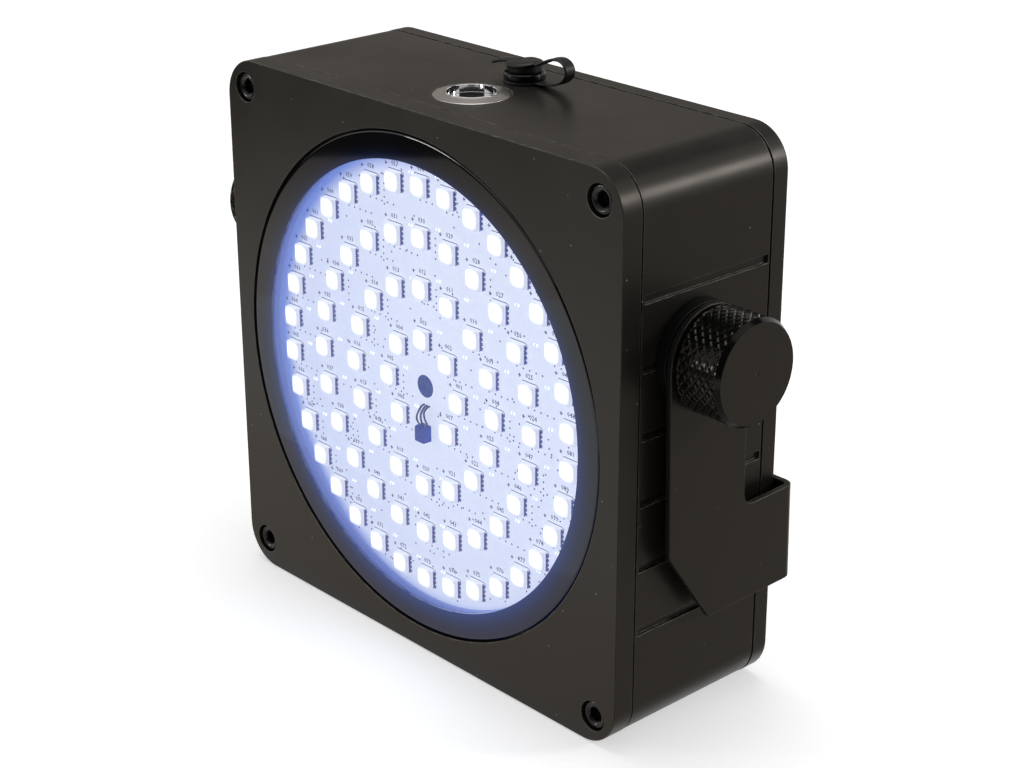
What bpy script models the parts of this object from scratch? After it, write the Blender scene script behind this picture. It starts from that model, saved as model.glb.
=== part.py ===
"""Wireless LED uplight: a square battery lamp with a hanging bracket.

The lamp stands on its lower edge. Its front faces -Y, X runs across it and Z is up.
The origin is under the middle of the whole object, on the surface that it stands on.
Depths are measured back from the front face, heights up from the lower edge.
All values are in metres.
"""
import math

import bmesh
import bpy
from mathutils import Euler, Matrix, Vector

# Housing
BOX = 0.140
CORNER = 0.0102
BODY_INSET = 0.0002
BEZEL_DEPTH = 0.0059
BODY_NEAR = 0.0062
BODY_FAR = 0.0474
COVER_NEAR = 0.0481
COVER_FAR = 0.0529
WALL = 0.0032
GAP = 0.0003
SCREW_OFFSET = 0.06285

# Light opening
LENS_RADIUS = 0.0634
OPENING_RADIUS = 0.06405
APERTURE_RADIUS = 0.0570
BOARD_RADIUS = 0.0594
LENS_NEAR = 0.0005
LENS_FAR = 0.0015
SEAL_NEAR = 0.0018
SEAL_FAR = 0.0022
BOARD_NEAR = 0.0046
BOARD_THICKNESS = 0.0016
LED_SIZE = 0.0050
LED_HEIGHT = 0.0017
CENTRE_HOLE_RADIUS = 0.0033
# Ring radius, number of places on it, and the angle of the first in degrees
LED_RINGS = ((0.0128, 8, 0.0), (0.0257, 16, 0.0), (0.0385, 24, 0.0), (0.05124, 34, 90.0 / 17.0))

# Grooves in the sides of the body
GROOVE_PITCH = 0.0162
GROOVE_COUNT = 6
GROOVE_HEIGHT = 0.0026
GROOVE_DEPTH = 0.0013
GROOVE_NEAR = 0.0070
GROOVE_FAR = 0.0469

# Top fittings
SWITCH_DEPTH = 0.0198
SWITCH_FLANGE_RADIUS = 0.0093
SWITCH_BARREL_RADIUS = 0.00795
BUTTON_RADIUS = 0.0056
SOCKET_DEPTH = 0.0368
SOCKET_RADIUS = 0.0051
SOCKET_BORE_RADIUS = 0.0034
CAP_RADIUS = 0.0047
STRAP_WIDTH = 0.0033
STRAP_THICKNESS = 0.0009

# Bracket and knobs
PIVOT_DEPTH = 0.0233
PIVOT_HEIGHT = 0.0944
ARM_OUTER = 0.0748
SHEET = 0.0015
ARM_HALF_WIDTH = 0.0125
BRACKET_REACH = 0.0304
BRACKET_DROP = 0.0659
LUG_TOP = 0.0413
BEND_RADIUS = 0.0011
REST_TILT = math.radians(1.4)
KNOB_RADIUS = 0.0126
KNOB_OUTER = 0.0885
STUD_RADIUS = 0.0030
KNURL_STARTS = 28
KNURL_ROWS = 10
KNURL_DEPTH = 0.00045

# Battery
CELL_COUNT = 6
CELL_RADIUS = 0.00915
CELL_LENGTH = 0.0652
CELL_PITCH = 0.0195
CELL_DEPTH = 0.0216
CELL_HEIGHT = 0.0565
HOLDER_NEAR = 0.0101
HOLDER_FAR = 0.0327
HOLDER_WIDTH = 0.122

# Rear controls
PANEL_HEIGHT = 0.098
WINDOW_HEIGHT = 0.106
KEY_HEIGHT = 0.086
KEY_PITCH = 0.014
KEY_RADIUS = 0.0032

BODY_SIZE = BOX - 2 * BODY_INSET
TOP = BOX - BODY_INSET
HALF = BOX / 2
BACK_REACH = PIVOT_DEPTH + BRACKET_REACH * math.cos(REST_TILT) + BRACKET_DROP * math.sin(REST_TILT)
FRONT_Y = -BACK_REACH / 2

FACING_FRONT = Euler((math.pi / 2, 0, 0))
FACING_BACK = Euler((-math.pi / 2, 0, 0))
FACING_UP = Euler((0, 0, 0))
SIDES = (("left", -1), ("right", 1))


def at(x, depth, height):
    """Point at a sideways place, a depth behind the front face and a height."""
    return Vector((x, FRONT_Y + depth, height))


def facing_side(sign):
    """Rotation that points local Z out of the right (1) or left (-1) side."""
    return Euler((0, sign * math.pi / 2, 0))


def clear_scene():
    for item in list(bpy.data.objects):
        bpy.data.objects.remove(item)


def new_collection(name):
    collection = bpy.data.collections.new(name)
    bpy.context.scene.collection.children.link(collection)
    return collection


def finish(name, colour, roughness, metallic=0.0, clear=0.0, glow=0.0):
    """Principled material with the colour and gloss of one sort of surface."""
    material = bpy.data.materials.new(name)
    material.use_nodes = True
    shader = material.node_tree.nodes["Principled BSDF"]
    shader.inputs["Base Color"].default_value = (*colour, 1.0)
    shader.inputs["Roughness"].default_value = roughness
    shader.inputs["Metallic"].default_value = metallic
    shader.inputs["Transmission Weight"].default_value = clear
    shader.inputs["Emission Color"].default_value = (*colour, 1.0)
    shader.inputs["Emission Strength"].default_value = glow
    return material


clear_scene()
parts = new_collection("wireless_led_uplight")
cutters = new_collection("cutters")

PAINT = finish("black_powder_coat", (0.045, 0.043, 0.041), 0.55)
BLACK_STEEL = finish("black_screw_steel", (0.02, 0.02, 0.02), 0.35, 0.9)
KNOB_METAL = finish("black_anodised_knob", (0.03, 0.03, 0.03), 0.4, 0.6)
CHROME = finish("polished_switch_metal", (0.75, 0.75, 0.76), 0.12, 1.0)
STEEL = finish("zinc_steel", (0.55, 0.56, 0.58), 0.35, 1.0)
ALUMINIUM = finish("bare_aluminium", (0.7, 0.7, 0.71), 0.4, 1.0)
RUBBER = finish("black_rubber", (0.025, 0.025, 0.025), 0.7)
GLOSS_BLACK = finish("gloss_black_plastic", (0.012, 0.012, 0.012), 0.2)
CLEAR = finish("clear_lens", (0.9, 0.93, 1.0), 0.05, 0.0, 1.0)
WHITE_BOARD = finish("white_solder_mask", (0.75, 0.78, 0.9), 0.5)
GREEN_BOARD = finish("green_solder_mask", (0.03, 0.16, 0.07), 0.45)
SENSOR = finish("infrared_sensor", (0.03, 0.03, 0.08), 0.3)
PAD = finish("grey_thermal_pad", (0.35, 0.36, 0.38), 0.8)
CELL_WRAP = finish("blue_cell_wrap", (0.05, 0.2, 0.5), 0.4)
HOLDER_PLASTIC = finish("holder_plastic", (0.02, 0.02, 0.02), 0.6)
DISPLAY = finish("display_face", (0.02, 0.05, 0.1), 0.3)


def add_object(name, mesh, location, rotation=FACING_UP, material=None, collection=parts):
    """Put a mesh in the scene; a cutter is shown as wire and never rendered."""
    item = bpy.data.objects.new(name, mesh)
    item.location = location
    item.rotation_euler = rotation
    collection.objects.link(item)
    if material is not None and not mesh.materials:
        mesh.materials.append(material)
    if collection is cutters:
        item.display_type = "WIRE"
        item.hide_render = True
    return item


def mesh_from(bm, name):
    mesh = bpy.data.meshes.new(name)
    bm.to_mesh(mesh)
    bm.free()
    return mesh


def smooth(mesh, angle=35.0):
    """Shade round faces smooth and keep real corners sharp."""
    mesh.shade_smooth()
    mesh.set_sharp_from_angle(angle=math.radians(angle))


def boolean(item, other, operation):
    modifier = item.modifiers.new(operation.lower() + "_" + other.name, "BOOLEAN")
    modifier.object = other
    modifier.operation = operation


def cut(item, *others):
    for other in others:
        boolean(item, other, "DIFFERENCE")


def fuse(item, *others):
    for other in others:
        boolean(item, other, "UNION")


def turned(name, profile, location, rotation, material, steps=32, collection=parts):
    """Turn a profile of (radius, height) points about local Z, top point first.

    A profile that starts and ends on the axis makes a solid; any other is closed
    into a ring.
    """
    ring = profile[0][0] > 0
    mesh = bpy.data.meshes.new(name)
    points = [(radius, 0.0, height) for radius, height in profile]
    edges = [(i, i + 1) for i in range(len(points) - 1)]
    if ring:
        edges.append((len(points) - 1, 0))
    mesh.from_pydata(points, edges, [])
    item = add_object(name, mesh, location, rotation, material, collection)
    screw = item.modifiers.new("turn", "SCREW")
    screw.axis = "Z"
    screw.steps = steps
    screw.render_steps = steps
    screw.use_merge_vertices = True
    screw.merge_threshold = 0.00002
    screw.use_smooth_shade = False
    return item


def rods(name, places, radius, length, rotation=FACING_UP, segments=12, collection=cutters, material=None):
    """Equal round rods, each centred on its place, with their axes along local Z."""
    bm = bmesh.new()
    turn = rotation.to_matrix().to_4x4()
    for place in places:
        bmesh.ops.create_cone(
            bm, cap_ends=True, segments=segments, radius1=radius, radius2=radius,
            depth=length, matrix=Matrix.Translation(place) @ turn)
    return add_object(name, mesh_from(bm, name), Vector(), FACING_UP, material, collection)


def blocks(name, boxes, collection=cutters, material=None):
    """Separate boxes in one mesh, each given by its centre and its size."""
    bm = bmesh.new()
    for centre, size in boxes:
        matrix = Matrix.Translation(centre) @ Matrix.Diagonal((*size, 1.0))
        bmesh.ops.create_cube(bm, size=1.0, matrix=matrix)
    return add_object(name, mesh_from(bm, name), Vector(), FACING_UP, material, collection)


def bevel_edges(bm, chosen, width, segments):
    edges = [edge for edge in bm.edges if chosen(edge)]
    bmesh.ops.bevel(bm, geom=edges, offset=width, segments=segments, profile=0.5, affect="EDGES")


def squircle(name, width, radius, near, far, front_edge=0.0, back_edge=0.0,
             material=None, collection=parts, segments=6, height=None):
    """Upright block with rounded corners, seen from the front as a rounded square."""
    height = width if height is None else height
    depth = far - near
    bm = bmesh.new()
    bmesh.ops.create_cube(bm, size=1.0, matrix=Matrix.Diagonal((width, depth, height, 1.0)))
    bevel_edges(bm, lambda e: abs(e.verts[0].co.y - e.verts[1].co.y) > depth / 2, radius, segments)
    if front_edge > 0:
        bevel_edges(bm, lambda e: all(v.co.y < -depth / 2 + 1e-6 for v in e.verts), front_edge, 2)
    if back_edge > 0:
        bevel_edges(bm, lambda e: all(v.co.y > depth / 2 - 1e-6 for v in e.verts), back_edge, 2)
    mesh = mesh_from(bm, name)
    smooth(mesh)
    return add_object(name, mesh, at(0, (near + far) / 2, HALF), FACING_UP, material, collection)


def rounded_rectangle(width, height, radius, steps=5):
    """Points round a rectangle with round corners, anticlockwise."""
    points = []
    for corner in range(4):
        start = corner * math.pi / 2
        centre_x = (width / 2 - radius) * (1 if corner in (0, 3) else -1)
        centre_y = (height / 2 - radius) * (1 if corner in (0, 1) else -1)
        for step in range(steps + 1):
            angle = start + step * math.pi / 2 / steps
            points.append((centre_x + radius * math.cos(angle), centre_y + radius * math.sin(angle)))
    return points


def circle(x, y, radius, steps=16):
    return [(x + radius * math.cos(2 * math.pi * i / steps),
             y + radius * math.sin(2 * math.pi * i / steps)) for i in range(steps)]


def flat_mesh(name, loops, thickness):
    """Closed plate from flat outlines; outlines inside the first are holes."""
    curve = bpy.data.curves.new(name, "CURVE")
    curve.dimensions = "2D"
    curve.fill_mode = "BOTH"
    curve.extrude = thickness / 2
    for loop in loops:
        spline = curve.splines.new("POLY")
        spline.points.add(len(loop) - 1)
        spline.use_cyclic_u = True
        for point, (x, y) in zip(spline.points, loop):
            point.co = (x, y, 0.0, 1.0)
    holder = bpy.data.objects.new(name, curve)
    cutters.objects.link(holder)
    evaluated = holder.evaluated_get(bpy.context.evaluated_depsgraph_get())
    mesh = bpy.data.meshes.new_from_object(evaluated)
    bpy.data.objects.remove(holder)
    bm = bmesh.new()
    bm.from_mesh(mesh)
    bmesh.ops.remove_doubles(bm, verts=bm.verts, dist=0.00001)
    bmesh.ops.recalc_face_normals(bm, faces=bm.faces)
    bm.to_mesh(mesh)
    bm.free()
    return mesh


def frozen(item):
    """Mesh of an object with its modifiers applied, for pieces made in numbers."""
    evaluated = item.evaluated_get(bpy.context.evaluated_depsgraph_get())
    mesh = bpy.data.meshes.new_from_object(evaluated)
    bpy.data.objects.remove(item)
    return mesh


def corner_places(depth):
    """The four screw places at one depth."""
    return [at(sx * SCREW_OFFSET, depth, HALF + sz * SCREW_OFFSET) for sz in (1, -1) for sx in (-1, 1)]


def led_places():
    """Places of the LED packages: four rings, with one left out under the centre."""
    places = []
    for radius, count, first in LED_RINGS:
        for i in range(count):
            angle = math.radians(first) + 2 * math.pi * i / count
            below_centre = abs(math.degrees(angle) - 270.0) < 1.0
            if radius == LED_RINGS[0][0] and below_centre:
                continue
            places.append((radius * math.cos(angle), HALF + radius * math.sin(angle)))
    return places


def make_bezel():
    bezel = squircle("front_bezel", BOX, CORNER, 0.0, BEZEL_DEPTH, front_edge=0.0007, material=PAINT)
    opening = [
        (0.0, 0.001), (OPENING_RADIUS, 0.001), (OPENING_RADIUS, -SEAL_FAR - GAP),
        (APERTURE_RADIUS, -SEAL_FAR - GAP), (APERTURE_RADIUS, -BOARD_NEAR + GAP),
        (BOARD_RADIUS + 2 * GAP, -BOARD_NEAR + GAP), (BOARD_RADIUS + 2 * GAP, -0.008), (0.0, -0.008)]
    light_path = turned("bezel_opening", opening, at(0, 0, HALF), FACING_FRONT, None, 60, cutters)
    head_pocket = 0.0041
    wide = rods("front_head_pockets", corner_places(0.0), 0.00425, 2 * head_pocket, FACING_FRONT, 20)
    narrow = rods("front_screw_holes", corner_places(BEZEL_DEPTH / 2), 0.00235, 0.012, FACING_FRONT)
    cut(bezel, light_path, wide, narrow)


def make_lens():
    turned("lens_window", [(0.0, -LENS_NEAR), (LENS_RADIUS, -LENS_NEAR), (LENS_RADIUS, -LENS_FAR),
                           (0.0, -LENS_FAR)], at(0, 0, HALF), FACING_FRONT, CLEAR, 60)
    turned("lens_seal", [(LENS_RADIUS - 0.0002, -SEAL_NEAR), (LENS_RADIUS - 0.0002, -SEAL_FAR),
                         (APERTURE_RADIUS + 0.0006, -SEAL_FAR), (APERTURE_RADIUS + 0.0006, -SEAL_NEAR)],
           at(0, 0, HALF), FACING_FRONT, RUBBER, 36)


def make_led_board():
    """Round aluminium-core board with its LED packages soldered on."""
    sink = 0.0002
    far = BOARD_NEAR + BOARD_THICKNESS
    board = turned("led_board", [(0.0, -BOARD_NEAR), (BOARD_RADIUS, -BOARD_NEAR),
                                 (BOARD_RADIUS, -far), (0.0, -far)],
                   at(0, 0, HALF), FACING_FRONT, WHITE_BOARD, 60)
    middle = BOARD_NEAR - LED_HEIGHT / 2 + sink / 2
    size = (LED_SIZE, LED_HEIGHT + sink, LED_SIZE)
    packages = blocks("led_packages", [(at(x, middle, z), size) for x, z in led_places()])
    hole = rods("board_centre_hole", [at(0, BOARD_NEAR, HALF)], CENTRE_HOLE_RADIUS, 0.008, FACING_FRONT, 24)
    fuse(board, packages)
    cut(board, hole)


def make_ir_receiver():
    """Small infrared sensor that stands off the board on three bent legs."""
    width, tall, near, far = 0.0035, 0.0035, 0.0019, 0.0042
    centre = at(0.00045, (near + far) / 2, HALF - 0.01205)
    bm = bmesh.new()
    bmesh.ops.create_cube(bm, size=1.0, matrix=Matrix.Diagonal((width, far - near, tall, 1.0)))
    bevel_edges(bm, lambda e: all(v.co.y < 0 for v in e.verts), 0.0004, 2)
    sensor = add_object("ir_receiver", mesh_from(bm, "ir_receiver"), centre, FACING_UP, SENSOR)
    leg = 0.0005
    legs = []
    for i in (-1, 0, 1):
        x = centre.x + i * 0.00115
        legs.append((at(x, 0.0031, HALF - 0.0074), (leg, leg, 0.0064)))
    upright = blocks("sensor_legs", legs)
    feet = blocks("sensor_feet", [(at(centre.x + i * 0.00115, 0.00358, HALF - 0.00445), (leg, 0.00132, leg))
                                  for i in (-1, 0, 1)])
    fuse(sensor, upright, feet)


def make_cooling():
    turned("thermal_pad", [(0.0, -0.0065), (0.057, -0.0065), (0.057, -0.0070), (0.0, -0.0070)],
           at(0, 0, HALF), FACING_FRONT, PAD, 40)
    plate = squircle("heat_spreader", 0.129, 0.004, 0.0073, 0.0098, material=ALUMINIUM,
                     segments=2, height=0.116)
    notches = rods("spreader_notches", corner_places(0.009), 0.0069, 0.01, FACING_FRONT)
    cut(plate, notches)


def groove_boxes():
    """Boxes that cut the long grooves into both sides of the body."""
    length = GROOVE_FAR - GROOVE_NEAR
    middle = (GROOVE_FAR + GROOVE_NEAR) / 2
    boxes = []
    for _, sign in SIDES:
        for i in range(GROOVE_COUNT):
            height = HALF + (i - (GROOVE_COUNT - 1) / 2) * GROOVE_PITCH
            x = sign * (BODY_SIZE / 2 - GROOVE_DEPTH + 0.001)
            boxes.append((at(x, middle, height), (0.002, length, GROOVE_HEIGHT)))
    return boxes


def make_body():
    """Hollow body with corner columns for the screws and two rails for the heat spreader."""
    body = squircle("body_shell", BODY_SIZE, CORNER - BODY_INSET, BODY_NEAR, BODY_FAR, material=PAINT)
    inside = BODY_SIZE - 2 * WALL
    cavity = squircle("body_cavity", inside, CORNER - WALL, 0.0, 0.06, collection=cutters, segments=3)
    seat = BODY_SIZE - 2 * 0.0019
    front_seat = squircle("front_gasket_seat", seat, CORNER - 0.0019, 0.0, 0.0075,
                          collection=cutters, segments=4)
    rear_seat = squircle("rear_gasket_seat", seat, CORNER - 0.0019, 0.0461, 0.06,
                         collection=cutters, segments=4)
    columns = rods("screw_columns", corner_places(0.0268), 0.0065, 0.0386, FACING_FRONT, 16)
    rails = blocks("spreader_rails", [(at(sign * 0.0643, 0.0116, HALF), (0.0054, 0.003, 0.100))
                                      for _, sign in SIDES])
    screw_holes = rods("body_screw_holes", corner_places(0.027), 0.0023, 0.06, FACING_FRONT)
    switch_face = rods("switch_face", [at(0, SWITCH_DEPTH, TOP)], SWITCH_FLANGE_RADIUS + 0.0003,
                       2 * GAP, FACING_UP, 40)
    switch_hole = rods("switch_hole", [at(0, SWITCH_DEPTH, TOP)], SWITCH_BARREL_RADIUS + GAP,
                       0.02, FACING_UP, 32)
    socket_hole = rods("socket_hole", [at(0, SOCKET_DEPTH, TOP)], 0.0046, 0.02, FACING_UP, 24)
    pivot_holes = rods("pivot_holes", [at(sign * HALF, PIVOT_DEPTH, PIVOT_HEIGHT) for _, sign in SIDES],
                       0.0043, 0.02, facing_side(1), 24)
    grooves = blocks("groove_cutters", groove_boxes())
    cut(body, cavity)
    fuse(body, columns, rails)
    cut(body, front_seat, rear_seat, screw_holes, switch_face, switch_hole, socket_hole,
        pivot_holes, grooves)


def make_gasket(name, near, far):
    """Flat frame gasket with a screw hole in each corner pad."""
    outer = rounded_rectangle(0.1350, 0.1350, 0.0078, 3)
    inner = rounded_rectangle(0.1298, 0.1298, 0.018, 2)
    holes = [circle(sx * SCREW_OFFSET, sz * SCREW_OFFSET, 0.0024, 8) for sx in (-1, 1) for sz in (-1, 1)]
    mesh = flat_mesh(name, [outer, inner, *holes], far - near)
    add_object(name, mesh, at(0, (near + far) / 2, HALF), FACING_FRONT, RUBBER)


def make_rear_cover():
    """Rear cover with a window, four key holes and posts for the control board."""
    skin = 0.0020
    inner = COVER_FAR - skin
    cover = squircle("rear_cover", BOX, CORNER, COVER_NEAR, COVER_FAR, back_edge=0.0009, material=PAINT)
    recess = [(at(0, inner - 0.005, HALF), (0.112, 0.010, 0.134)),
              (at(0, inner - 0.005, HALF), (0.134, 0.010, 0.112))]
    tall = blocks("cover_recess_tall", recess[:1])
    wide = blocks("cover_recess_wide", recess[1:])
    posts = rods("board_posts", [at(x, (inner + 0.0469 + 0.0003) / 2, z) for x in (-0.031, 0.031)
                                 for z in (PANEL_HEIGHT - 0.021, PANEL_HEIGHT + 0.021)],
                 0.0025, inner - 0.0469 + 0.0003, FACING_FRONT, 12)
    window = blocks("window_opening", [(at(0, COVER_FAR, WINDOW_HEIGHT), (0.0386, 0.01, 0.0146))])
    keys = rods("key_holes", key_places(COVER_FAR), KEY_RADIUS + GAP, 0.006, FACING_FRONT, 16)
    heads = rods("rear_head_pockets", corner_places(COVER_FAR), 0.00425, 2 * 0.0033, FACING_FRONT, 16)
    holes = rods("rear_screw_holes", corner_places(COVER_FAR), 0.00235, 0.02, FACING_FRONT)
    cut(cover, tall, wide)
    fuse(cover, posts)
    cut(cover, window, keys, heads, holes)


def key_places(depth):
    return [at((i - 1.5) * KEY_PITCH, depth, KEY_HEIGHT) for i in range(4)]


def screw_mesh(name, head_height, length):
    """Cap screw with a hexagon socket; local Z points out of its head."""
    profile = [(0.0, 0.0), (0.0033, 0.0), (0.0036, -0.0003), (0.0036, -head_height),
               (0.0020, -head_height), (0.0020, -length + 0.0004), (0.0016, -length), (0.0, -length)]
    screw = turned(name, profile, Vector(), FACING_UP, BLACK_STEEL, 12)
    socket = rods(name + "_socket", [Vector()], 0.00173, 0.0040, FACING_UP, 6)
    cut(screw, socket)
    mesh = frozen(screw)
    bpy.data.objects.remove(socket)
    smooth(mesh)
    return mesh


def make_screws():
    front = screw_mesh("front_screw", 0.0037, 0.0155)
    rear = screw_mesh("rear_screw", 0.0029, 0.0150)
    for i, place in enumerate(corner_places(0.0001), start=1):
        add_object(f"front_screw_{i}", front, place, FACING_FRONT)
    for i, place in enumerate(corner_places(COVER_FAR - 0.0001), start=1):
        add_object(f"rear_screw_{i}", rear, place, FACING_BACK)


def nut(name, place, across_radius, bore, near, far):
    """Hexagon nut under the top wall, with a flat to the front and the back."""
    middle = place - Vector((0, 0, (near + far) / 2))
    item = rods(name, [middle], across_radius, far - near, Euler((0, 0, math.pi / 6)), 6, parts, STEEL)
    hole = rods(name + "_bore", [middle], bore, 0.02, FACING_UP, 24)
    cut(item, hole)


def make_switch():
    place = at(0, SWITCH_DEPTH, TOP)
    bore = BUTTON_RADIUS + GAP
    housing = [
        (bore + 0.0002, 0.0011), (0.0064, 0.0011), (0.0067, 0.0010), (0.0090, 0.0004),
        (SWITCH_FLANGE_RADIUS, 0.0002), (SWITCH_FLANGE_RADIUS, 0.0), (SWITCH_BARREL_RADIUS, 0.0),
        (SWITCH_BARREL_RADIUS, -0.0220), (0.0050, -0.0220), (0.0050, -0.0056), (bore, -0.0056),
        (bore, 0.0009)]
    turned("power_switch_housing", housing, place, FACING_UP, CHROME, 28)
    button = [
        (0.0, -0.00115), (BUTTON_RADIUS - 0.0003, -0.00115), (BUTTON_RADIUS, -0.00145),
        (BUTTON_RADIUS, -0.0049), (0.0030, -0.0049), (0.0030, -0.0090), (0.0, -0.0090)]
    turned("power_button", button, place, FACING_UP, CHROME, 24)
    nut("switch_nut", place, 0.0108, SWITCH_BARREL_RADIUS + GAP, WALL + GAP, 0.0060)


def make_socket():
    """Charging socket: a collar on the top, a neck for the tether ring and a centre pin."""
    place = at(0, SOCKET_DEPTH, TOP)
    socket = [
        (0.0, -0.0010), (0.0008, -0.0010), (0.0010, -0.0013), (0.0010, -0.0095),
        (SOCKET_BORE_RADIUS, -0.0095), (SOCKET_BORE_RADIUS, 0.0027), (0.0048, 0.0027),
        (SOCKET_RADIUS, 0.0024), (SOCKET_RADIUS, 0.0013), (0.0043, 0.0013), (0.0043, -0.0120),
        (0.0, -0.0120)]
    turned("charge_socket", socket, place, FACING_UP, GLOSS_BLACK, 24)
    nut("socket_nut", place, 0.0068, 0.0043 + GAP, WALL + GAP, 0.0055)


def strap_outline(route, thickness):
    """Outline of a bent strap: its middle line moved to either side."""
    left, right = [], []
    for i, point in enumerate(route):
        before = route[max(i - 1, 0)]
        after = route[min(i + 1, len(route) - 1)]
        along = Vector((after[0] - before[0], after[1] - before[1])).normalized()
        across = Vector((-along.y, along.x)) * thickness / 2
        left.append((point[0] + across.x, point[1] + across.y))
        right.append((point[0] - across.x, point[1] - across.y))
    return left + right[::-1]


def flowing(points, steps=4):
    """Smooth line through a few points, each stretch a Catmull-Rom curve."""
    padded = [points[0], *points, points[-1]]
    line = []
    for a, b, c, d in zip(padded, padded[1:], padded[2:], padded[3:]):
        for step in range(steps):
            t = step / steps
            line.append(tuple(
                0.5 * (2 * q + (r - p) * t + (2 * p - 5 * q + 4 * r - s) * t ** 2
                       + (3 * q - p - 3 * r + s) * t ** 3)
                for p, q, r, s in zip(a, b, c, d)))
    line.append(points[-1])
    return line


def make_dust_cap():
    place = at(0, SOCKET_DEPTH, TOP)
    profile = [
        (0.0, 0.0051), (0.0030, 0.0052), (0.0043, 0.0050), (CAP_RADIUS, 0.0046), (0.0045, 0.0042),
        (0.0041, 0.0041), (0.0041, 0.0030), (0.0031, 0.0030), (0.0031, -0.0003), (0.0, -0.0003)]
    cap = turned("dust_cap", profile, place, FACING_UP, RUBBER, 24)
    pull = flowing([(-0.0025, 0.0047), (-0.0050, 0.0046), (-0.0075, 0.0038), (-0.0098, 0.0026)], 2)
    mesh = flat_mesh("cap_pull", [strap_outline(pull, STRAP_THICKNESS)], STRAP_WIDTH)
    tab = add_object("cap_pull", mesh, place, FACING_FRONT, None, cutters)
    fuse(cap, tab)


def make_tether():
    """Strap that loops from the cap to a ring round the socket's neck."""
    place = at(0, SOCKET_DEPTH, TOP)
    route = flowing([
        (0.0051, 0.0051), (0.0075, 0.0062), (0.0105, 0.0074), (0.0132, 0.0076), (0.0151, 0.0065),
        (0.0155, 0.0046), (0.0141, 0.0028), (0.0115, 0.0016), (0.0085, 0.0010), (0.0052, 0.00065)], 3)
    mesh = flat_mesh("cap_tether", [strap_outline(route, STRAP_THICKNESS * 0.7)], STRAP_WIDTH)
    tether = add_object("cap_tether", mesh, place, FACING_FRONT, RUBBER)
    ring = turned("tether_ring", [(0.0056, 0.0010), (0.0056, GAP), (0.0046, GAP), (0.0046, 0.0010)],
                  place, FACING_UP, RUBBER, 28, cutters)
    fuse(tether, ring)


def make_battery():
    wrap = bpy.data.meshes.new("cell")
    bm = bmesh.new()
    bmesh.ops.create_cone(bm, cap_ends=True, segments=12, radius1=CELL_RADIUS, radius2=CELL_RADIUS,
                          depth=CELL_LENGTH)
    bm.to_mesh(wrap)
    bm.free()
    smooth(wrap)
    places = [at((i - (CELL_COUNT - 1) / 2) * CELL_PITCH, CELL_DEPTH, CELL_HEIGHT)
              for i in range(CELL_COUNT)]
    for i, place in enumerate(places, start=1):
        add_object(f"battery_cell_{i}", wrap, place, FACING_UP, CELL_WRAP)
    make_holder(places)


def make_holder(places):
    """Tray behind the heat spreader whose two end walls hold the cells."""
    reach = CELL_LENGTH / 2 + 0.0059
    grip = 0.0020
    wall = 0.0059 + grip
    middle = (HOLDER_NEAR + HOLDER_FAR) / 2
    tray = blocks("cell_holder", [(at(0, HOLDER_NEAR + 0.0009, CELL_HEIGHT), (HOLDER_WIDTH, 0.0018, 2 * reach))],
                  parts, HOLDER_PLASTIC)
    ends = blocks("holder_ends", [
        (at(0, middle, CELL_HEIGHT + side * (reach - wall / 2)), (HOLDER_WIDTH, HOLDER_FAR - HOLDER_NEAR, wall))
        for side in (-1, 1)])
    pockets = rods("cell_pockets", places, CELL_RADIUS + GAP, CELL_LENGTH + 2 * GAP, FACING_UP, 12)
    fuse(tray, ends)
    cut(tray, pockets)


def make_boards():
    """Driver board behind the cells, radio module on it and control board behind the keys."""
    near = HOLDER_FAR + GAP
    far = near + 0.0016
    low, high = CELL_HEIGHT - 0.0385, CELL_HEIGHT + 0.0385
    centre = (low + high) / 2
    driver = blocks("driver_board", [(at(0, (near + far) / 2, centre), (0.112, far - near, high - low))],
                    parts, GREEN_BOARD)
    coil = (at(-0.035, far + 0.0024, 0.040), (0.013, 0.0050, 0.013))
    relay = (at(-0.012, far + 0.0029, 0.038), (0.010, 0.0060, 0.016))
    chips = [(at(0.012 + 0.016 * i, far + 0.0006, 0.036), (0.009, 0.0014, 0.009)) for i in range(3)]
    plugs = [(at(-0.044 + 0.022 * i, far + 0.0029, 0.087), (0.014, 0.0060, 0.006)) for i in range(5)]
    fuse(driver, blocks("driver_parts", [coil, relay, *chips, *plugs]))
    radio = blocks("wireless_module", [(at(0.032, far + GAP + 0.0005, 0.064), (0.026, 0.0010, 0.018))],
                   parts, GREEN_BOARD)
    fuse(radio, blocks("radio_can", [(at(0.028, far + GAP + 0.0019, 0.064), (0.014, 0.0022, 0.013))]))
    control = blocks("control_board", [(at(0, 0.0458, PANEL_HEIGHT), (0.070, 0.0016, 0.050))],
                     parts, GREEN_BOARD)
    taps = [(place, (0.005, 0.0006, 0.005)) for place in key_places(0.0466)]
    fuse(control, blocks("key_contacts", taps))


def make_controls():
    blocks("display_module", [(at(0, 0.04875, WINDOW_HEIGHT), (0.044, 0.0037, 0.020))], parts, DISPLAY)
    blocks("display_window", [(at(0, 0.05175, WINDOW_HEIGHT), (0.0380, 0.0017, 0.0140))], parts, CLEAR)
    profile = [
        (0.0, 0.0), (KEY_RADIUS - 0.0003, 0.0), (KEY_RADIUS, -0.0003), (KEY_RADIUS, -0.0029),
        (0.0042, -0.0029), (0.0042, -0.0037), (0.0015, -0.0037), (0.0015, -0.0059), (0.0, -0.0059)]
    for i, place in enumerate(key_places(COVER_FAR + 0.0006), start=1):
        turned(f"menu_button_{i}", profile, place, FACING_BACK, RUBBER, 10)


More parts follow.
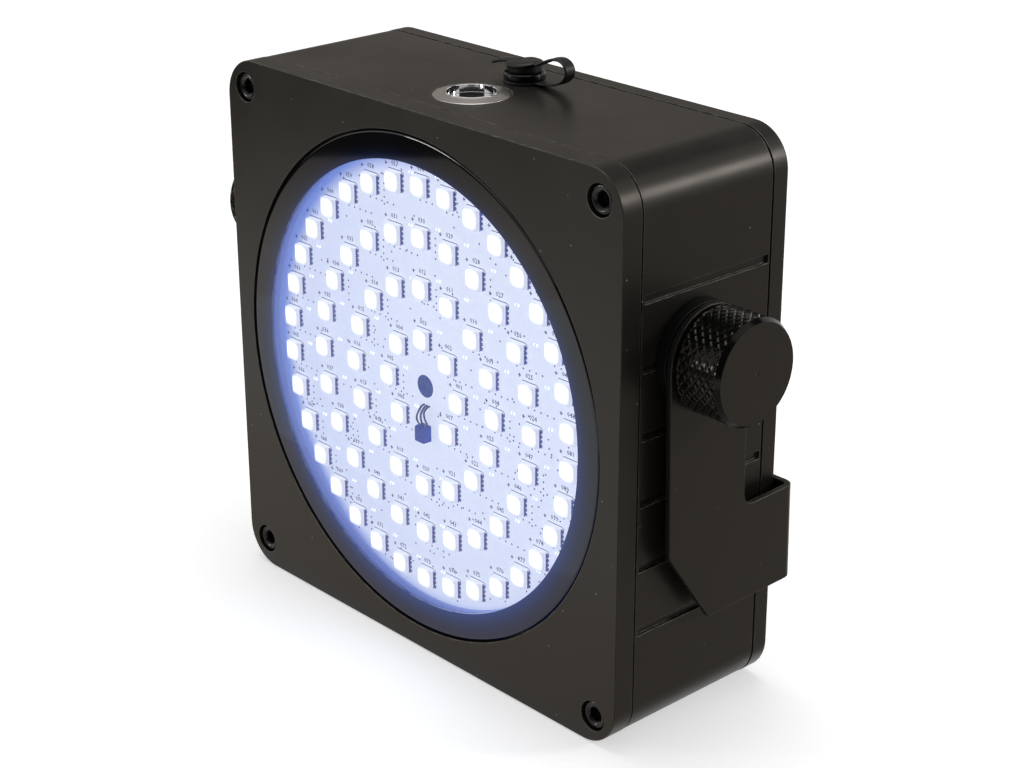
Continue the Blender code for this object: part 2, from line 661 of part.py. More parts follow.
def bracket_blank():
    """Outline of one half of the flat blank, from the middle of the back to the pivot end.

    The first value runs along the sheet's middle line, the second is the height below
    the pivot. Returns the outline and where the sheet's bend starts and stops.
    """
    bend = BEND_RADIUS + SHEET / 2
    bend_start = ARM_OUTER - SHEET / 2 - bend
    bend_stop = bend_start + bend * math.pi / 2
    pivot = bend_stop + BRACKET_REACH - SHEET / 2 - bend
    fillet = 0.0030
    inner_x, inner_y = pivot - ARM_HALF_WIDTH - fillet, -LUG_TOP + fillet
    outline = [(0.0, -BRACKET_DROP), (pivot - 0.0009, -BRACKET_DROP),
               (pivot + ARM_HALF_WIDTH - 0.0006, -0.0468), (pivot + ARM_HALF_WIDTH, -0.0455)]
    for step in range(13):
        angle = step * math.pi / 12
        outline.append((pivot + ARM_HALF_WIDTH * math.cos(angle), ARM_HALF_WIDTH * math.sin(angle)))
    for step in range(4):
        angle = step * math.pi / 6
        outline.append((inner_x + fillet * math.cos(angle), inner_y - fillet * math.sin(angle)))
    outline.append((0.0, -LUG_TOP))
    return outline, bend_start, bend_stop, pivot


def fold_bracket(mesh, bend_start, bend_stop):
    """Fold the flat blank round its two bends, with its outer face kept outside."""
    bend = BEND_RADIUS + SHEET / 2
    back = BRACKET_REACH - SHEET / 2
    bm = bmesh.new()
    bm.from_mesh(mesh)
    steps = 4
    for side in (-1, 1):
        for step in range(steps + 1):
            place = side * (bend_start + (bend_stop - bend_start) * step / steps)
            bmesh.ops.bisect_plane(bm, geom=bm.verts[:] + bm.edges[:] + bm.faces[:], dist=1e-7,
                                   plane_co=(place, 0, 0), plane_no=(1, 0, 0))
    for vert in bm.verts:
        along, height, out = vert.co
        side = 1 if along >= 0 else -1
        along = abs(along)
        angle = min(max((along - bend_start) / bend, 0.0), math.pi / 2)
        straight = min(along, bend_start)
        past = max(along - bend_stop, 0.0)
        x = straight + (bend + out) * math.sin(angle)
        y = back - bend + (bend + out) * math.cos(angle) - past
        vert.co = (side * x, y, height)
    bmesh.ops.recalc_face_normals(bm, faces=bm.faces)
    bm.to_mesh(mesh)
    bm.free()


def make_bracket():
    """Sheet bracket that hangs on the two knobs, folded back against the rear cover."""
    outline, bend_start, bend_stop, pivot = bracket_blank()
    mirrored = [(-x, y) for x, y in reversed(outline[1:-1])]
    loop = outline + mirrored
    holes = [circle(0.0, -(LUG_TOP + BRACKET_DROP) / 2, 0.00525, 20),
             circle(pivot, 0.0, 0.0034), circle(-pivot, 0.0, 0.0034)]
    mesh = flat_mesh("bracket", [loop, *holes], SHEET)
    fold_bracket(mesh, bend_start, bend_stop)
    smooth(mesh)
    hinge = bpy.data.objects.new("bracket_pivot", None)
    hinge.location = at(0, PIVOT_DEPTH, PIVOT_HEIGHT)
    hinge.rotation_euler = (REST_TILT, 0, 0)
    parts.objects.link(hinge)
    bracket = add_object("bracket", mesh, Vector(), FACING_UP, PAINT)
    bracket.parent = hinge


def knob_mesh():
    """Knurled thumb knob: two crossing sets of grooves leave rows of small pyramids."""
    length = KNOB_OUTER - ARM_OUTER - GAP
    chamfer, lead = 0.0008, 0.0012
    segments = 2 * KNURL_STARTS
    bm = bmesh.new()
    bmesh.ops.create_cone(bm, cap_ends=True, segments=segments, radius1=KNOB_RADIUS - chamfer,
                          radius2=KNOB_RADIUS - chamfer, depth=length,
                          matrix=Matrix.Translation((0, 0, length / 2)))
    low, high = lead, length - lead
    for row in range(KNURL_ROWS + 1):
        place = low + (high - low) * row / KNURL_ROWS
        bmesh.ops.bisect_plane(bm, geom=bm.verts[:] + bm.edges[:] + bm.faces[:], dist=1e-7,
                               plane_co=(0, 0, place), plane_no=(0, 0, 1))
    valleys = set()
    for vert in bm.verts:
        if not low - 1e-6 < vert.co.z < high + 1e-6:
            continue
        row = round((vert.co.z - low) / (high - low) * KNURL_ROWS)
        turn = round(math.atan2(vert.co.y, vert.co.x) / (2 * math.pi) * segments)
        edge_row = row in (0, KNURL_ROWS)
        valley = (row + turn) % 2 == 1 and not edge_row
        radius = KNOB_RADIUS - (KNURL_DEPTH if valley else 0.0)
        vert.co.xy = vert.co.xy.normalized() * radius
        if valley:
            valleys.add(vert)
    for face in [f for f in bm.faces if len(f.verts) == 4]:
        pair = [v for v in face.verts if v in valleys]
        if len(pair) == 2:
            bmesh.utils.face_split(face, pair[0], pair[1])
    mesh = mesh_from(bm, "knob")
    return mesh


def make_knobs():
    blank = add_object("knob_blank", knob_mesh(), Vector(), FACING_UP, KNOB_METAL)
    blind = rods("knob_hole", [Vector()], STUD_RADIUS + GAP, 2 * 0.0054, FACING_UP, 16)
    cut(blank, blind)
    mesh = frozen(blank)
    bpy.data.objects.remove(blind)
    smooth(mesh, 20.0)
    for side, sign in SIDES:
        turn = facing_side(sign)
        place = at(sign * (ARM_OUTER + GAP), PIVOT_DEPTH, PIVOT_HEIGHT)
        add_object(f"knob_{side}", mesh, place, turn)
        axis = at(0, PIVOT_DEPTH, PIVOT_HEIGHT)
        turned(f"knob_stud_{side}", [(0.0, 0.0800), (0.0026, 0.0800), (STUD_RADIUS, 0.0796),
                                     (STUD_RADIUS, 0.0629), (0.0026, 0.0625), (0.0, 0.0625)],
               axis, turn, STEEL, 12)
        turned(f"pivot_spacer_{side}", [(KNOB_RADIUS - 0.0003, 0.0730), (KNOB_RADIUS, 0.0727),
                                        (KNOB_RADIUS, 0.0701), (0.0040, 0.0701), (0.0040, 0.0730)],
               axis, turn, RUBBER, 24)
        turned(f"pivot_insert_{side}", [(0.0040, 0.0695), (0.0040, 0.0663), (0.0060, 0.0663),
                                        (0.0060, 0.0648), (0.0033, 0.0648), (0.0033, 0.0695)],
               axis, turn, STEEL, 16)


def main():
    make_bezel()
    make_lens()
    make_led_board()
    make_ir_receiver()
    make_cooling()
    make_body()
    make_gasket("front_gasket", BEZEL_DEPTH + GAP, 0.0072)
    make_gasket("rear_gasket", 0.0464, COVER_NEAR - GAP)
    make_rear_cover()
    make_screws()
    make_switch()
    make_socket()
    make_dust_cap()
    make_tether()
    make_battery()
    make_boards()
    make_controls()
    make_bracket()
    make_knobs()


main()
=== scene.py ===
"""Looks of a wireless LED uplight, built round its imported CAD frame.

The lamp faces -Y, X runs across it and Z is up, in metres, as in the frame. Depths are measured
back from the front face, heights up from the lower edge.

New surfaces are lofts: closed outlines, each a function of the angle round an axis, stand one
behind the other, and a grid of quads joins them.
"""

import logging
import math
from dataclasses import dataclass, field
from enum import Enum
from typing import Callable, Sequence

import bmesh
import bpy
import numpy as np
from mathutils import Euler, Matrix, Vector

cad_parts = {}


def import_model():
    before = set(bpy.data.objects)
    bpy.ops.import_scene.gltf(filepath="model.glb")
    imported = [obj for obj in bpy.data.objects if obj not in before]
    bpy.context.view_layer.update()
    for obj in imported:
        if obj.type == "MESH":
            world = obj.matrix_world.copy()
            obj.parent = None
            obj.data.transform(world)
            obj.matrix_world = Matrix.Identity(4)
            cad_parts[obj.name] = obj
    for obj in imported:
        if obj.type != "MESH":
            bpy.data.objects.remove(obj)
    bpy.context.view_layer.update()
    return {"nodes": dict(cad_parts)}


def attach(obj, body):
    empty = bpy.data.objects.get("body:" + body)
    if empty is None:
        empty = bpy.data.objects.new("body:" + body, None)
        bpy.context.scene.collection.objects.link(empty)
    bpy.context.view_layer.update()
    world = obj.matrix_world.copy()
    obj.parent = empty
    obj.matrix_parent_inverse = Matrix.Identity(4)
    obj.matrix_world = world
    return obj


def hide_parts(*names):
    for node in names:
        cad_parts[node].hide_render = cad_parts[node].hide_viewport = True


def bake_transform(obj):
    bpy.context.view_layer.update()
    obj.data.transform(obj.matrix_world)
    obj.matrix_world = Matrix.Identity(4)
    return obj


LOG = logging.getLogger("uplight")

MM = 0.001
FRONT_Y = -0.0276505  # where the front face stands in the frame
HALF = 0.070  # half of the housing's width, and the height of its middle
CORNER = 0.0102  # radius of the housing's corners
TOP = 0.1398  # height of the body's top face
PIVOT_DEPTH = 0.0233
PIVOT_HEIGHT = 0.0944
SWITCH_DEPTH = 0.0198
SOCKET_DEPTH = 0.0368
SCREW_OFFSET = 0.06285  # from the middle to each screw, sideways and up
KEY_HEIGHT = 0.086
KEY_PITCH = 0.014

SQUARE = np.arange(4) * math.pi / 2 + math.pi / 4  # polar angles of a square's corners
HALF_DIAGONAL = 0.5 * math.sqrt(2.0)  # from the middle of a unit square to its corners

Profile = tuple[tuple[float, float], ...]
Colour = tuple[float, float, float]


class Facing(Enum):
    """Where a piece's own +Z points: the columns are its X, Y and Z in the row frame."""

    UP = ((1, 0, 0), (0, 1, 0), (0, 0, 1))
    FRONT = ((1, 0, 0), (0, 0, 1), (0, -1, 0))
    BACK = ((-1, 0, 0), (0, 0, 1), (0, 1, 0))
    RIGHT = ((0, 1, 0), (0, 0, 1), (1, 0, 0))
    LEFT = ((0, -1, 0), (0, 0, 1), (-1, 0, 0))

    def place(self, points: np.ndarray, origin: np.ndarray) -> np.ndarray:
        """Turn points from a piece's own axes to the row frame and move them to its origin."""
        return points @ np.array(self.value, float) + origin


def at(x: float, depth: float, height: float) -> np.ndarray:
    """Point at a sideways place, a depth behind the front face and a height."""
    return np.array((x, FRONT_Y + depth, height))


# ---------------------------------------------------------------------------------------------
# Outlines and lofts
# ---------------------------------------------------------------------------------------------


def spokes(half: float, radius: float, arc_steps: int, side_steps: int) -> np.ndarray:
    """Polar angles at which a rounded square is sampled, dense in its corners.

    The corner arcs are cut at equal arc angles and the sides at equal polar angles.

    Args:
        half: Half of the square's width.
        radius: Corner radius.
        arc_steps: Cuts along each corner arc.
        side_steps: Cuts along each straight side.

    Returns:
        The angles in radians, rising, one full turn without its end.
    """
    arc = np.linspace(0.0, math.pi / 2, arc_steps + 1)
    centre = half - radius
    corner = np.arctan2(centre + radius * np.sin(arc), centre + radius * np.cos(arc))
    reach = corner[0]
    side = np.linspace(-reach, reach, side_steps + 1)[1:-1]
    quarter = np.concatenate((side, corner))
    return np.sort(np.concatenate([quarter + k * math.pi / 2 for k in range(4)]))


def rounded_square(half: float, radius: float, angles: np.ndarray) -> np.ndarray:
    """Distance from the centre of a rounded square to its edge at each polar angle.

    With a the angle to the nearest side's middle, the edge is half / cos a on the flat, and on
    the corner arc the far root of |R d - c| = radius, where c is the arc's centre.

    Args:
        half: Half of the square's width.
        radius: Corner radius.
        angles: Polar angles in radians.

    Returns:
        The distances, one for each angle.
    """
    a = np.abs((angles + math.pi / 4) % (math.pi / 2) - math.pi / 4)
    c = half - radius
    along = c * (np.cos(a) + np.sin(a))
    root = np.sqrt(np.maximum(along**2 - 2 * c**2 + radius**2, 0.0))
    flat = half / np.cos(a)
    return np.where(half * np.tan(a) <= c + 1e-12, flat, along + root)


def hexagon(apothem: float, angles: np.ndarray) -> np.ndarray:
    """Distance from a hexagon's centre to its edge: apothem / cos of the angle to the flat."""
    return apothem / np.cos((angles + math.pi / 6) % (math.pi / 3) - math.pi / 6)


def full_turn(steps: int) -> np.ndarray:
    """Polar angles of equal steps round an axis, one full turn without its end."""
    return np.arange(steps) * 2 * math.pi / steps


def loft(radii: Sequence[np.ndarray | float], heights: Sequence[float],
         angles: np.ndarray) -> np.ndarray:
    """Grid of points through a row of outlines.

    Each point is (R cos a, R sin a, h), with R the outline's distance at that angle.

    Args:
        radii: For each outline, one distance or one for each angle.
        heights: For each outline, its place along the axis.
        angles: Polar angles in radians.

    Returns:
        Array of outlines by angles by three.
    """
    rows = np.stack([np.broadcast_to(np.asarray(r, float), angles.shape) for r in radii])
    levels = np.broadcast_to(np.asarray(heights, float)[:, None], rows.shape)
    return np.stack((rows * np.cos(angles), rows * np.sin(angles), levels), axis=-1)


def turned(profile: Sequence[tuple[float, float]], steps: int) -> np.ndarray:
    """Grid of a profile of (radius, height) carried round its axis.

    Args:
        profile: Radius and height of each outline, in metres.
        steps: Cuts round the axis.

    Returns:
        Array of outlines by steps by three.
    """
    radii, heights = zip(*profile)
    return loft(radii, heights, full_turn(steps))


def unit_box(low: float, high: float) -> tuple[np.ndarray, np.ndarray]:
    """Box one unit wide and deep between two heights, as a loft of two squares.

    Args:
        low: Height of the lower face.
        high: Height of the upper face.

    Returns:
        Its eight points and its six quads, by corner.
    """
    points = loft((HALF_DIAGONAL, HALF_DIAGONAL), (low, high), SQUARE).reshape(-1, 3)
    return points, np.concatenate((grid_quads(2, 4, False), [[0, 1, 2, 3], [4, 5, 6, 7]]))


def swept(path: np.ndarray, across: np.ndarray, section: np.ndarray) -> np.ndarray:
    """Grid of a closed section carried along a path.

    Each point is path + s0 n + s1 w, with w the fixed direction across and n = w x tangent.

    Args:
        path: Points along the middle line, by three.
        across: Unit vector that stays square to the path.
        section: Points of the section: out along n and along w.

    Returns:
        Array of path points by section points by three.
    """
    tangent = np.gradient(path, axis=0)
    tangent /= np.linalg.norm(tangent, axis=1, keepdims=True)
    normal = np.cross(across, tangent)
    out, aside = section[None, :, :1], section[None, :, 1:]
    return path[:, None] + out * normal[:, None] + aside * across


def flowing(points: Sequence[Sequence[float]], steps: int) -> np.ndarray:
    """Smooth line through a few points, each stretch a Catmull-Rom curve.

    Between b and c, with a before and d after them, the point at t from 0 to 1 is half of
    2 b + (c - a) t + (2 a - 5 b + 4 c - d) t^2 + (3 b - a - 3 c + d) t^3.

    Args:
        points: Points that the line passes.
        steps: Cuts in each stretch.

    Returns:
        Array of points along the line.
    """
    p = np.asarray(points, float)
    p = np.concatenate((p[:1], p, p[-1:]))[:, None]
    t = (np.arange(steps) / steps)[None, :, None]
    a, b, c, d = p[:-3], p[1:-2], p[2:-1], p[3:]
    line = 0.5 * (2 * b + (c - a) * t + (2 * a - 5 * b + 4 * c - d) * t**2
                  + (3 * b - a - 3 * c + d) * t**3)
    return np.concatenate((line.reshape(-1, line.shape[-1]), p[-1]))


def grid_quads(rows: int, columns: int, closed_rows: bool) -> np.ndarray:
    """Corner numbers of the quads of a grid whose columns close round.

    Args:
        rows: Outlines in the grid.
        columns: Points in an outline.
        closed_rows: True if the last outline joins the first.

    Returns:
        Array of quads by four.
    """
    index = np.arange(rows * columns).reshape(rows, columns)
    beside = np.roll(index, -1, axis=1)
    above, beside_above = np.roll(index, -1, axis=0), np.roll(beside, -1, axis=0)
    quads = np.stack((index, beside, beside_above, above), axis=-1)
    return (quads if closed_rows else quads[:-1]).reshape(-1, 4)


def mesh_object(name: str, points: np.ndarray, faces: list[list[int]]) -> bpy.types.Object:
    """Make an object at the origin from points and faces, with doubles merged and faces outward.

    Args:
        name: Name of the piece.
        points: Points by three, in the row frame.
        faces: Corner numbers of each face.

    Returns:
        The new object, in the scene.
    """
    mesh = bpy.data.meshes.new(name)
    mesh.from_pydata(points.reshape(-1, 3).tolist(), [], faces)
    bm = bmesh.new()
    bm.from_mesh(mesh)
    bmesh.ops.remove_doubles(bm, verts=bm.verts, dist=2e-7)
    bmesh.ops.recalc_face_normals(bm, faces=bm.faces)
    bm.to_mesh(mesh)
    bm.free()
    mesh.shade_smooth()
    item = bpy.data.objects.new(name, mesh)
    bpy.context.scene.collection.objects.link(item)
    return item


def loft_object(name: str, grid: np.ndarray, facing: Facing, origin: np.ndarray,
                ring: bool = False, caps: bool = True) -> bpy.types.Object:
    """Make an object from a loft's grid.

    Args:
        name: Name of the piece.
        grid: Outlines by angles by three, in the piece's own axes.
        facing: Where the piece's own +Z points.
        origin: Where its own origin goes.
        ring: True if the last outline joins the first.
        caps: True if the first and last outline are filled.

    Returns:
        The new object.
    """
    rows, columns = grid.shape[:2]
    faces = grid_quads(rows, columns, ring).tolist()
    if caps and not ring:
        faces.append(list(range(columns)))
        faces.append(list(range((rows - 1) * columns, rows * columns)))
    return mesh_object(name, facing.place(grid.reshape(-1, 3), origin), faces)


def lathe(name: str, profile: Sequence[tuple[float, float]], facing: Facing, origin: np.ndarray,
          steps: int = 96) -> bpy.types.Object:
    """Turn a profile into a solid, or into a ring if it doesn't start on the axis.

    Args:
        name: Name of the piece.
        profile: Radius and height of each point, in metres.
        facing: Where the axis points.
        origin: Where height zero of the axis goes.
        steps: Cuts round the axis.

    Returns:
        The new object.
    """
    ring = profile[0][0] > 0
    return loft_object(name, turned(profile, steps), facing, origin, ring=ring, caps=False)


def block(name: str, centre: np.ndarray, size: Sequence[float]) -> bpy.types.Object:
    """Box: a square outline at its lower and its upper face, stretched to the size.

    Args:
        name: Name of the piece.
        centre: Where its middle goes.
        size: Its width, depth and height.

    Returns:
        The new object.
    """
    grid = loft((HALF_DIAGONAL, HALF_DIAGONAL), (-0.5, 0.5), SQUARE) * np.asarray(size, float)
    return loft_object(name, grid, Facing.UP, centre)


def array_object(name: str, template: np.ndarray, faces: np.ndarray,
                 places: np.ndarray) -> bpy.types.Object:
    """One mesh with a copy of a small template at every place.

    Args:
        name: Name of the piece.
        template: Points of the template by three.
        faces: Its faces, by corner.
        places: Where the copies go, by three.

    Returns:
        The new object, whose points are in the order of the places.
    """
    points = (places[:, None] + template[None]).reshape(-1, 3)
    first = (np.arange(len(places)) * len(template))[:, None, None]
    return mesh_object(name, points, (faces[None] + first).reshape(-1, faces.shape[1]).tolist())


def apply_modifiers(item: bpy.types.Object) -> bpy.types.Object:
    """Replace an object's mesh by the one its modifiers give, and remove them.

    Args:
        item: The object.

    Returns:
        The same object.
    """
    evaluated = item.evaluated_get(bpy.context.evaluated_depsgraph_get())
    mesh = bpy.data.meshes.new_from_object(evaluated)
    item.modifiers.clear()
    item.data = mesh
    return item


def cut(item: bpy.types.Object, *cutters: bpy.types.Object) -> bpy.types.Object:
    """Cut solids away from an object.

    Args:
        item: What is cut.
        cutters: Closed solids, which are removed afterwards.

    Returns:
        The cut object.
    """
    for cutter in cutters:
        modifier = item.modifiers.new("cut", "BOOLEAN")
        modifier.object = cutter
        modifier.operation = "DIFFERENCE"
        modifier.solver = "EXACT"
    apply_modifiers(item)
    for cutter in cutters:
        bpy.data.objects.remove(cutter)
    bm = bmesh.new()
    bm.from_mesh(item.data)
    bmesh.ops.remove_doubles(bm, verts=bm.verts, dist=1e-6)
    bmesh.ops.dissolve_limit(bm, angle_limit=math.radians(0.3), verts=bm.verts, edges=bm.edges)
    bm.to_mesh(item.data)
    bm.free()
    return item


def soften(item: bpy.types.Object, width: float, segments: int = 2,
           angle: float = 32.0) -> bpy.types.Object:
    """Round an object's sharp edges and shade its flats flat.

    Args:
        item: The object.
        width: Width of the rounding, in metres.
        segments: Faces across the rounding.
        angle: Edges that turn more than this are rounded, in degrees.

    Returns:
        The same object.
    """
    bevel = item.modifiers.new("edge rounding", "BEVEL")
    bevel.width = width
    bevel.segments = segments
    bevel.limit_method = "ANGLE"
    bevel.angle_limit = math.radians(angle)
    bevel.miter_outer = "MITER_ARC"
    item.data.shade_smooth()
    weighted = item.modifiers.new("flat shading", "WEIGHTED_NORMAL")
    weighted.keep_sharp = True
    weighted.weight = 80
    return item


def merged_copy(node: bpy.types.Object, name: str) -> bpy.types.Object:
    """Copy a CAD node's mesh with its loose triangles joined into flat faces.

    Args:
        node: The CAD node, which stays as it is.
        name: Name of the new piece.

    Returns:
        The new object.
    """
    bm = bmesh.new()
    bm.from_mesh(node.data)
    bmesh.ops.remove_doubles(bm, verts=bm.verts, dist=1e-6)
    bmesh.ops.dissolve_limit(bm, angle_limit=math.radians(0.5), verts=bm.verts, edges=bm.edges)
    mesh = bpy.data.meshes.new(name)
    bm.to_mesh(mesh)
    bm.free()
    item = bpy.data.objects.new(name, mesh)
    bpy.context.scene.collection.objects.link(item)
    return item


# ---------------------------------------------------------------------------------------------
# Finishes
# ---------------------------------------------------------------------------------------------


class Graph:
    """A material's or a group's node tree, with short ways to add nodes and join them."""

    def __init__(self, tree: bpy.types.NodeTree) -> None:
        """Keep the tree that nodes are added to."""
        self.tree = tree

    def join(self, source: bpy.types.NodeSocket, target: bpy.types.NodeSocket) -> None:
        """Link an output to an input."""
        self.tree.links.new(source, target)

    def add(self, kind: str, sockets: dict[str | int, object] | None = None,
            **settings: object) -> bpy.types.Node:
        """Add a node.

        Args:
            kind: The node's type, without its ShaderNode beginning.
            sockets: For each input, a value or an output socket to join to it.
            settings: The node's own settings.

        Returns:
            The new node.
        """
        node = self.tree.nodes.new("ShaderNode" + kind)
        for key, value in settings.items():
            setattr(node, key, value)
        for key, value in (sockets or {}).items():
            if isinstance(value, bpy.types.NodeSocket):
                self.join(value, node.inputs[key])
            else:
                node.inputs[key].default_value = value
        return node

    def maths(self, operation: str, *values: object) -> bpy.types.NodeSocket:
        """Add a maths node with its values or sockets in order and give its output."""
        node = self.add("Math", dict(enumerate(values)), operation=operation)
        return node.outputs[0]

    def noise(self, vector: bpy.types.NodeSocket, scale: float, detail: float = 2.0,
              roughness: float = 0.5) -> bpy.types.NodeSocket:
        """Add noise over a position and give its value."""
        sockets = {"Vector": vector, "Scale": scale, "Detail": detail, "Roughness": roughness}
        return self.add("TexNoise", sockets).outputs["Fac"]

    def spread(self, value: bpy.types.NodeSocket, low: float, high: float,
               to_low: float = 0.0, to_high: float = 1.0) -> bpy.types.NodeSocket:
        """Map a value's range low to high onto another range, clamped."""
        sockets = {"Value": value, "From Min": low, "From Max": high, "To Min": to_low,
                   "To Max": to_high}
        return self.add("MapRange", sockets).outputs["Result"]

    def blend(self, mask: bpy.types.NodeSocket, under: object,
              over: object) -> bpy.types.NodeSocket:
        """Mix two colours by a mask and give the colour; the inputs are those of a colour mix."""
        node = self.add("Mix", {0: mask, 6: under, 7: over}, data_type="RGBA")
        return node.outputs[2]


def rgba(colour: Sequence[float]) -> tuple[float, float, float, float]:
    """Colour with full alpha."""
    return (colour[0], colour[1], colour[2], 1.0)


def new_group(name: str, inputs: dict[str, float],
              outputs: dict[str, str]) -> tuple[Graph, bpy.types.Node, bpy.types.Node]:
    """Make an empty shader node group.

    Args:
        name: The group's name.
        inputs: Name and first value of each number input. A Vector input is always there.
        outputs: Name and socket type of each output.

    Returns:
        The group's graph, its input node and its output node.
    """
    tree = bpy.data.node_groups.new(name, "ShaderNodeTree")
    tree.interface.new_socket(name="Vector", in_out="INPUT", socket_type="NodeSocketVector")
    for key, value in inputs.items():
        socket = tree.interface.new_socket(name=key, in_out="INPUT", socket_type="NodeSocketFloat")
        socket.default_value = value
    for key, kind in outputs.items():
        tree.interface.new_socket(name=key, in_out="OUTPUT", socket_type=kind)
    return Graph(tree), tree.nodes.new("NodeGroupInput"), tree.nodes.new("NodeGroupOutput")


CLOUD_SCALE = 34.0  # cells a metre of the slow change of gloss
FLECK_SCALE = 190.0  # cells a metre, each with one place where a stray fleck may lie
FLECK_EDGE = (0.036, 0.022)  # distances from it at which a fleck starts and is full
SPECK_LEVELS = (0.78, 0.8)  # noise at which specks start, less their share, and are full
PATCH_SCALE = 420.0  # cells a metre of the patches that break up a worn edge


def powder_grain_group() -> bpy.types.NodeTree:
    """Powder coat: fine bumps, light specks, rare stray flecks and slow cloudy change of gloss.

    Returns:
        The node group, with outputs Speck, Fleck, Cloud and Height.
    """
    found = bpy.data.node_groups.get("powder grain")
    if found:
        return found
    graph, given, out = new_group(
        "powder grain", {"Scale": 4000.0, "Speck Share": 0.3},
        dict.fromkeys(("Speck", "Fleck", "Cloud", "Height"), "NodeSocketFloat"))
    vector, scale = given.outputs["Vector"], given.outputs["Scale"]
    fine = graph.add("TexNoise", {"Vector": vector, "Scale": scale, "Detail": 3.0}).outputs["Fac"]
    cloud = graph.noise(vector, CLOUD_SCALE, 4.0, 0.6)
    pebbles = graph.add("TexVoronoi", {"Vector": vector, "Scale": scale}).outputs["Distance"]
    level = graph.maths("SUBTRACT", SPECK_LEVELS[0], given.outputs["Speck Share"])
    speck = graph.add("MapRange", {"Value": fine, "From Min": level, "From Max": SPECK_LEVELS[1]})
    height = graph.maths("ADD", fine, graph.maths("MULTIPLY", pebbles, 0.6))
    strays = graph.add("TexVoronoi", {"Vector": vector, "Scale": FLECK_SCALE}).outputs["Distance"]
    graph.join(graph.spread(strays, *FLECK_EDGE), out.inputs["Fleck"])
    graph.join(speck.outputs["Result"], out.inputs["Speck"])
    graph.join(cloud, out.inputs["Cloud"])
    graph.join(height, out.inputs["Height"])
    return graph.tree


def edge_wear_and_highlight_group() -> bpy.types.NodeTree:
    """Edge wear and painted highlight: where the rounded normal departs from the true one, broken
    up by noise.

    Edges that face up get the most: a painted highlight of the light from above.

    Returns:
        The node group, with output Mask.
    """
    found = bpy.data.node_groups.get("edge wear")
    if found:
        return found
    graph, given, out = new_group("edge wear", {"Radius": 0.0004, "Amount": 0.5},
                                  {"Mask": "NodeSocketFloat"})
    rounded = graph.add("Bevel", {"Radius": given.outputs["Radius"]}, samples=4).outputs["Normal"]
    flat = graph.add("NewGeometry").outputs["Normal"]
    dot = graph.add("VectorMath", {0: rounded, 1: flat}, operation="DOT_PRODUCT")
    turn = graph.spread(dot.outputs["Value"], 0.99, 0.85)
    patchy = graph.noise(given.outputs["Vector"], PATCH_SCALE, 4.0, 0.65)
    broken = graph.maths("MULTIPLY", turn, graph.spread(patchy, 0.38, 0.66, 0.2, 1.0))
    # Up-facing edges get more of the light edge colour: a painted highlight of the light from
    # above.
    upward = graph.add("SeparateXYZ", {"Vector": rounded}).outputs["Z"]
    share = graph.spread(upward, 0.0, 0.6, 0.25, 1.0)
    mask = graph.maths("MULTIPLY", graph.maths("MULTIPLY", broken, share), given.outputs["Amount"])
    graph.join(mask, out.inputs["Mask"])
    return graph.tree


@dataclass(frozen=True)
class Finish:
    """A surface's colour, gloss and fine detail, made into a procedural material.

    Attributes:
        name: The material's name.
        colour: Base colour, linear.
        roughness: Middle roughness.
        metallic: 1 for bare metal.
        specular: Specular level of the shader.
        coat: Clear coat over it.
        grain: Noise scale of the fine bumps, in cells a metre.
        bump: Height of the fine bumps, in metres.
        speck: Share of the surface with lighter specks.
        speck_colour: Colour of the specks.
        fleck: How strongly rare stray flecks show the edge colour.
        wear_and_highlight: How strongly edges show the edge colour, partly as wear and partly as a
            painted highlight.
        wear_and_highlight_colour: The edge colour: that of a worn edge, which also paints the
            edges' highlight.
        spread: How far the roughness drifts either way.
        tint: Colour of the gloss.
    """

    name: str
    colour: Colour
    roughness: float = 0.5
    metallic: float = 0.0
    specular: float = 0.5
    coat: float = 0.0
    grain: float = 4000.0
    bump: float = 0.00001
    speck: float = 0.0
    speck_colour: Colour = (0.1, 0.1, 0.1)
    fleck: float = 0.0
    wear_and_highlight: float = 0.0
    wear_and_highlight_colour: Colour = (0.12, 0.12, 0.12)
    spread: float = 0.05
    tint: Colour = (1.0, 1.0, 1.0)

    def material(self) -> bpy.types.Material:
        """Build the material, or find it if it was built before.

        Returns:
            The material: base colour with specks, and edges that are worn and carry a painted
                highlight,
            drifting roughness, fine bumps.
        """
        found = bpy.data.materials.get(self.name)
        if found:
            return found
        made = bpy.data.materials.new(self.name)
        made.use_nodes = True
        graph = Graph(made.node_tree)
        shader = made.node_tree.nodes["Principled BSDF"]
        position = graph.add("TexCoord").outputs["Object"]
        given = {"Vector": position, "Scale": self.grain, "Speck Share": self.speck}
        grain = graph.add("Group", given, node_tree=powder_grain_group())
        colour = graph.blend(grain.outputs["Speck"], rgba(self.colour), rgba(self.speck_colour))
        if self.fleck > 0:
            fleck = graph.maths("MULTIPLY", grain.outputs["Fleck"], self.fleck)
            colour = graph.blend(fleck, colour, rgba(self.wear_and_highlight_colour))
        # Light edge colour: partly wear, partly a painted highlight on the edges.
        if self.wear_and_highlight > 0:
            worn_and_lit_edges = graph.add("Group", {"Vector": position, "Amount": self.wear_and_highlight},
                             node_tree=edge_wear_and_highlight_group())
            colour = graph.blend(worn_and_lit_edges.outputs["Mask"], colour, rgba(self.wear_and_highlight_colour))
        graph.join(colour, shader.inputs["Base Color"])
        rough = graph.spread(grain.outputs["Cloud"], 0.3, 0.7, self.roughness - self.spread,
                             self.roughness + self.spread)
        graph.join(rough, shader.inputs["Roughness"])
        bump = graph.add("Bump", {"Height": grain.outputs["Height"], "Distance": self.bump,
                                  "Strength": 1.0})
        graph.join(bump.outputs["Normal"], shader.inputs["Normal"])
        even = {"Metallic": self.metallic, "Specular IOR Level": self.specular,
                "Specular Tint": rgba(self.tint), "Coat Weight": self.coat}
        for key, value in even.items():
            shader.inputs[key].default_value = value
        self.extend(graph, shader, position)
        return made

    def extend(self, graph: Graph, shader: bpy.types.Node, position: bpy.types.NodeSocket) -> None:
        """Add what only this sort of surface has; a plain finish has nothing more."""


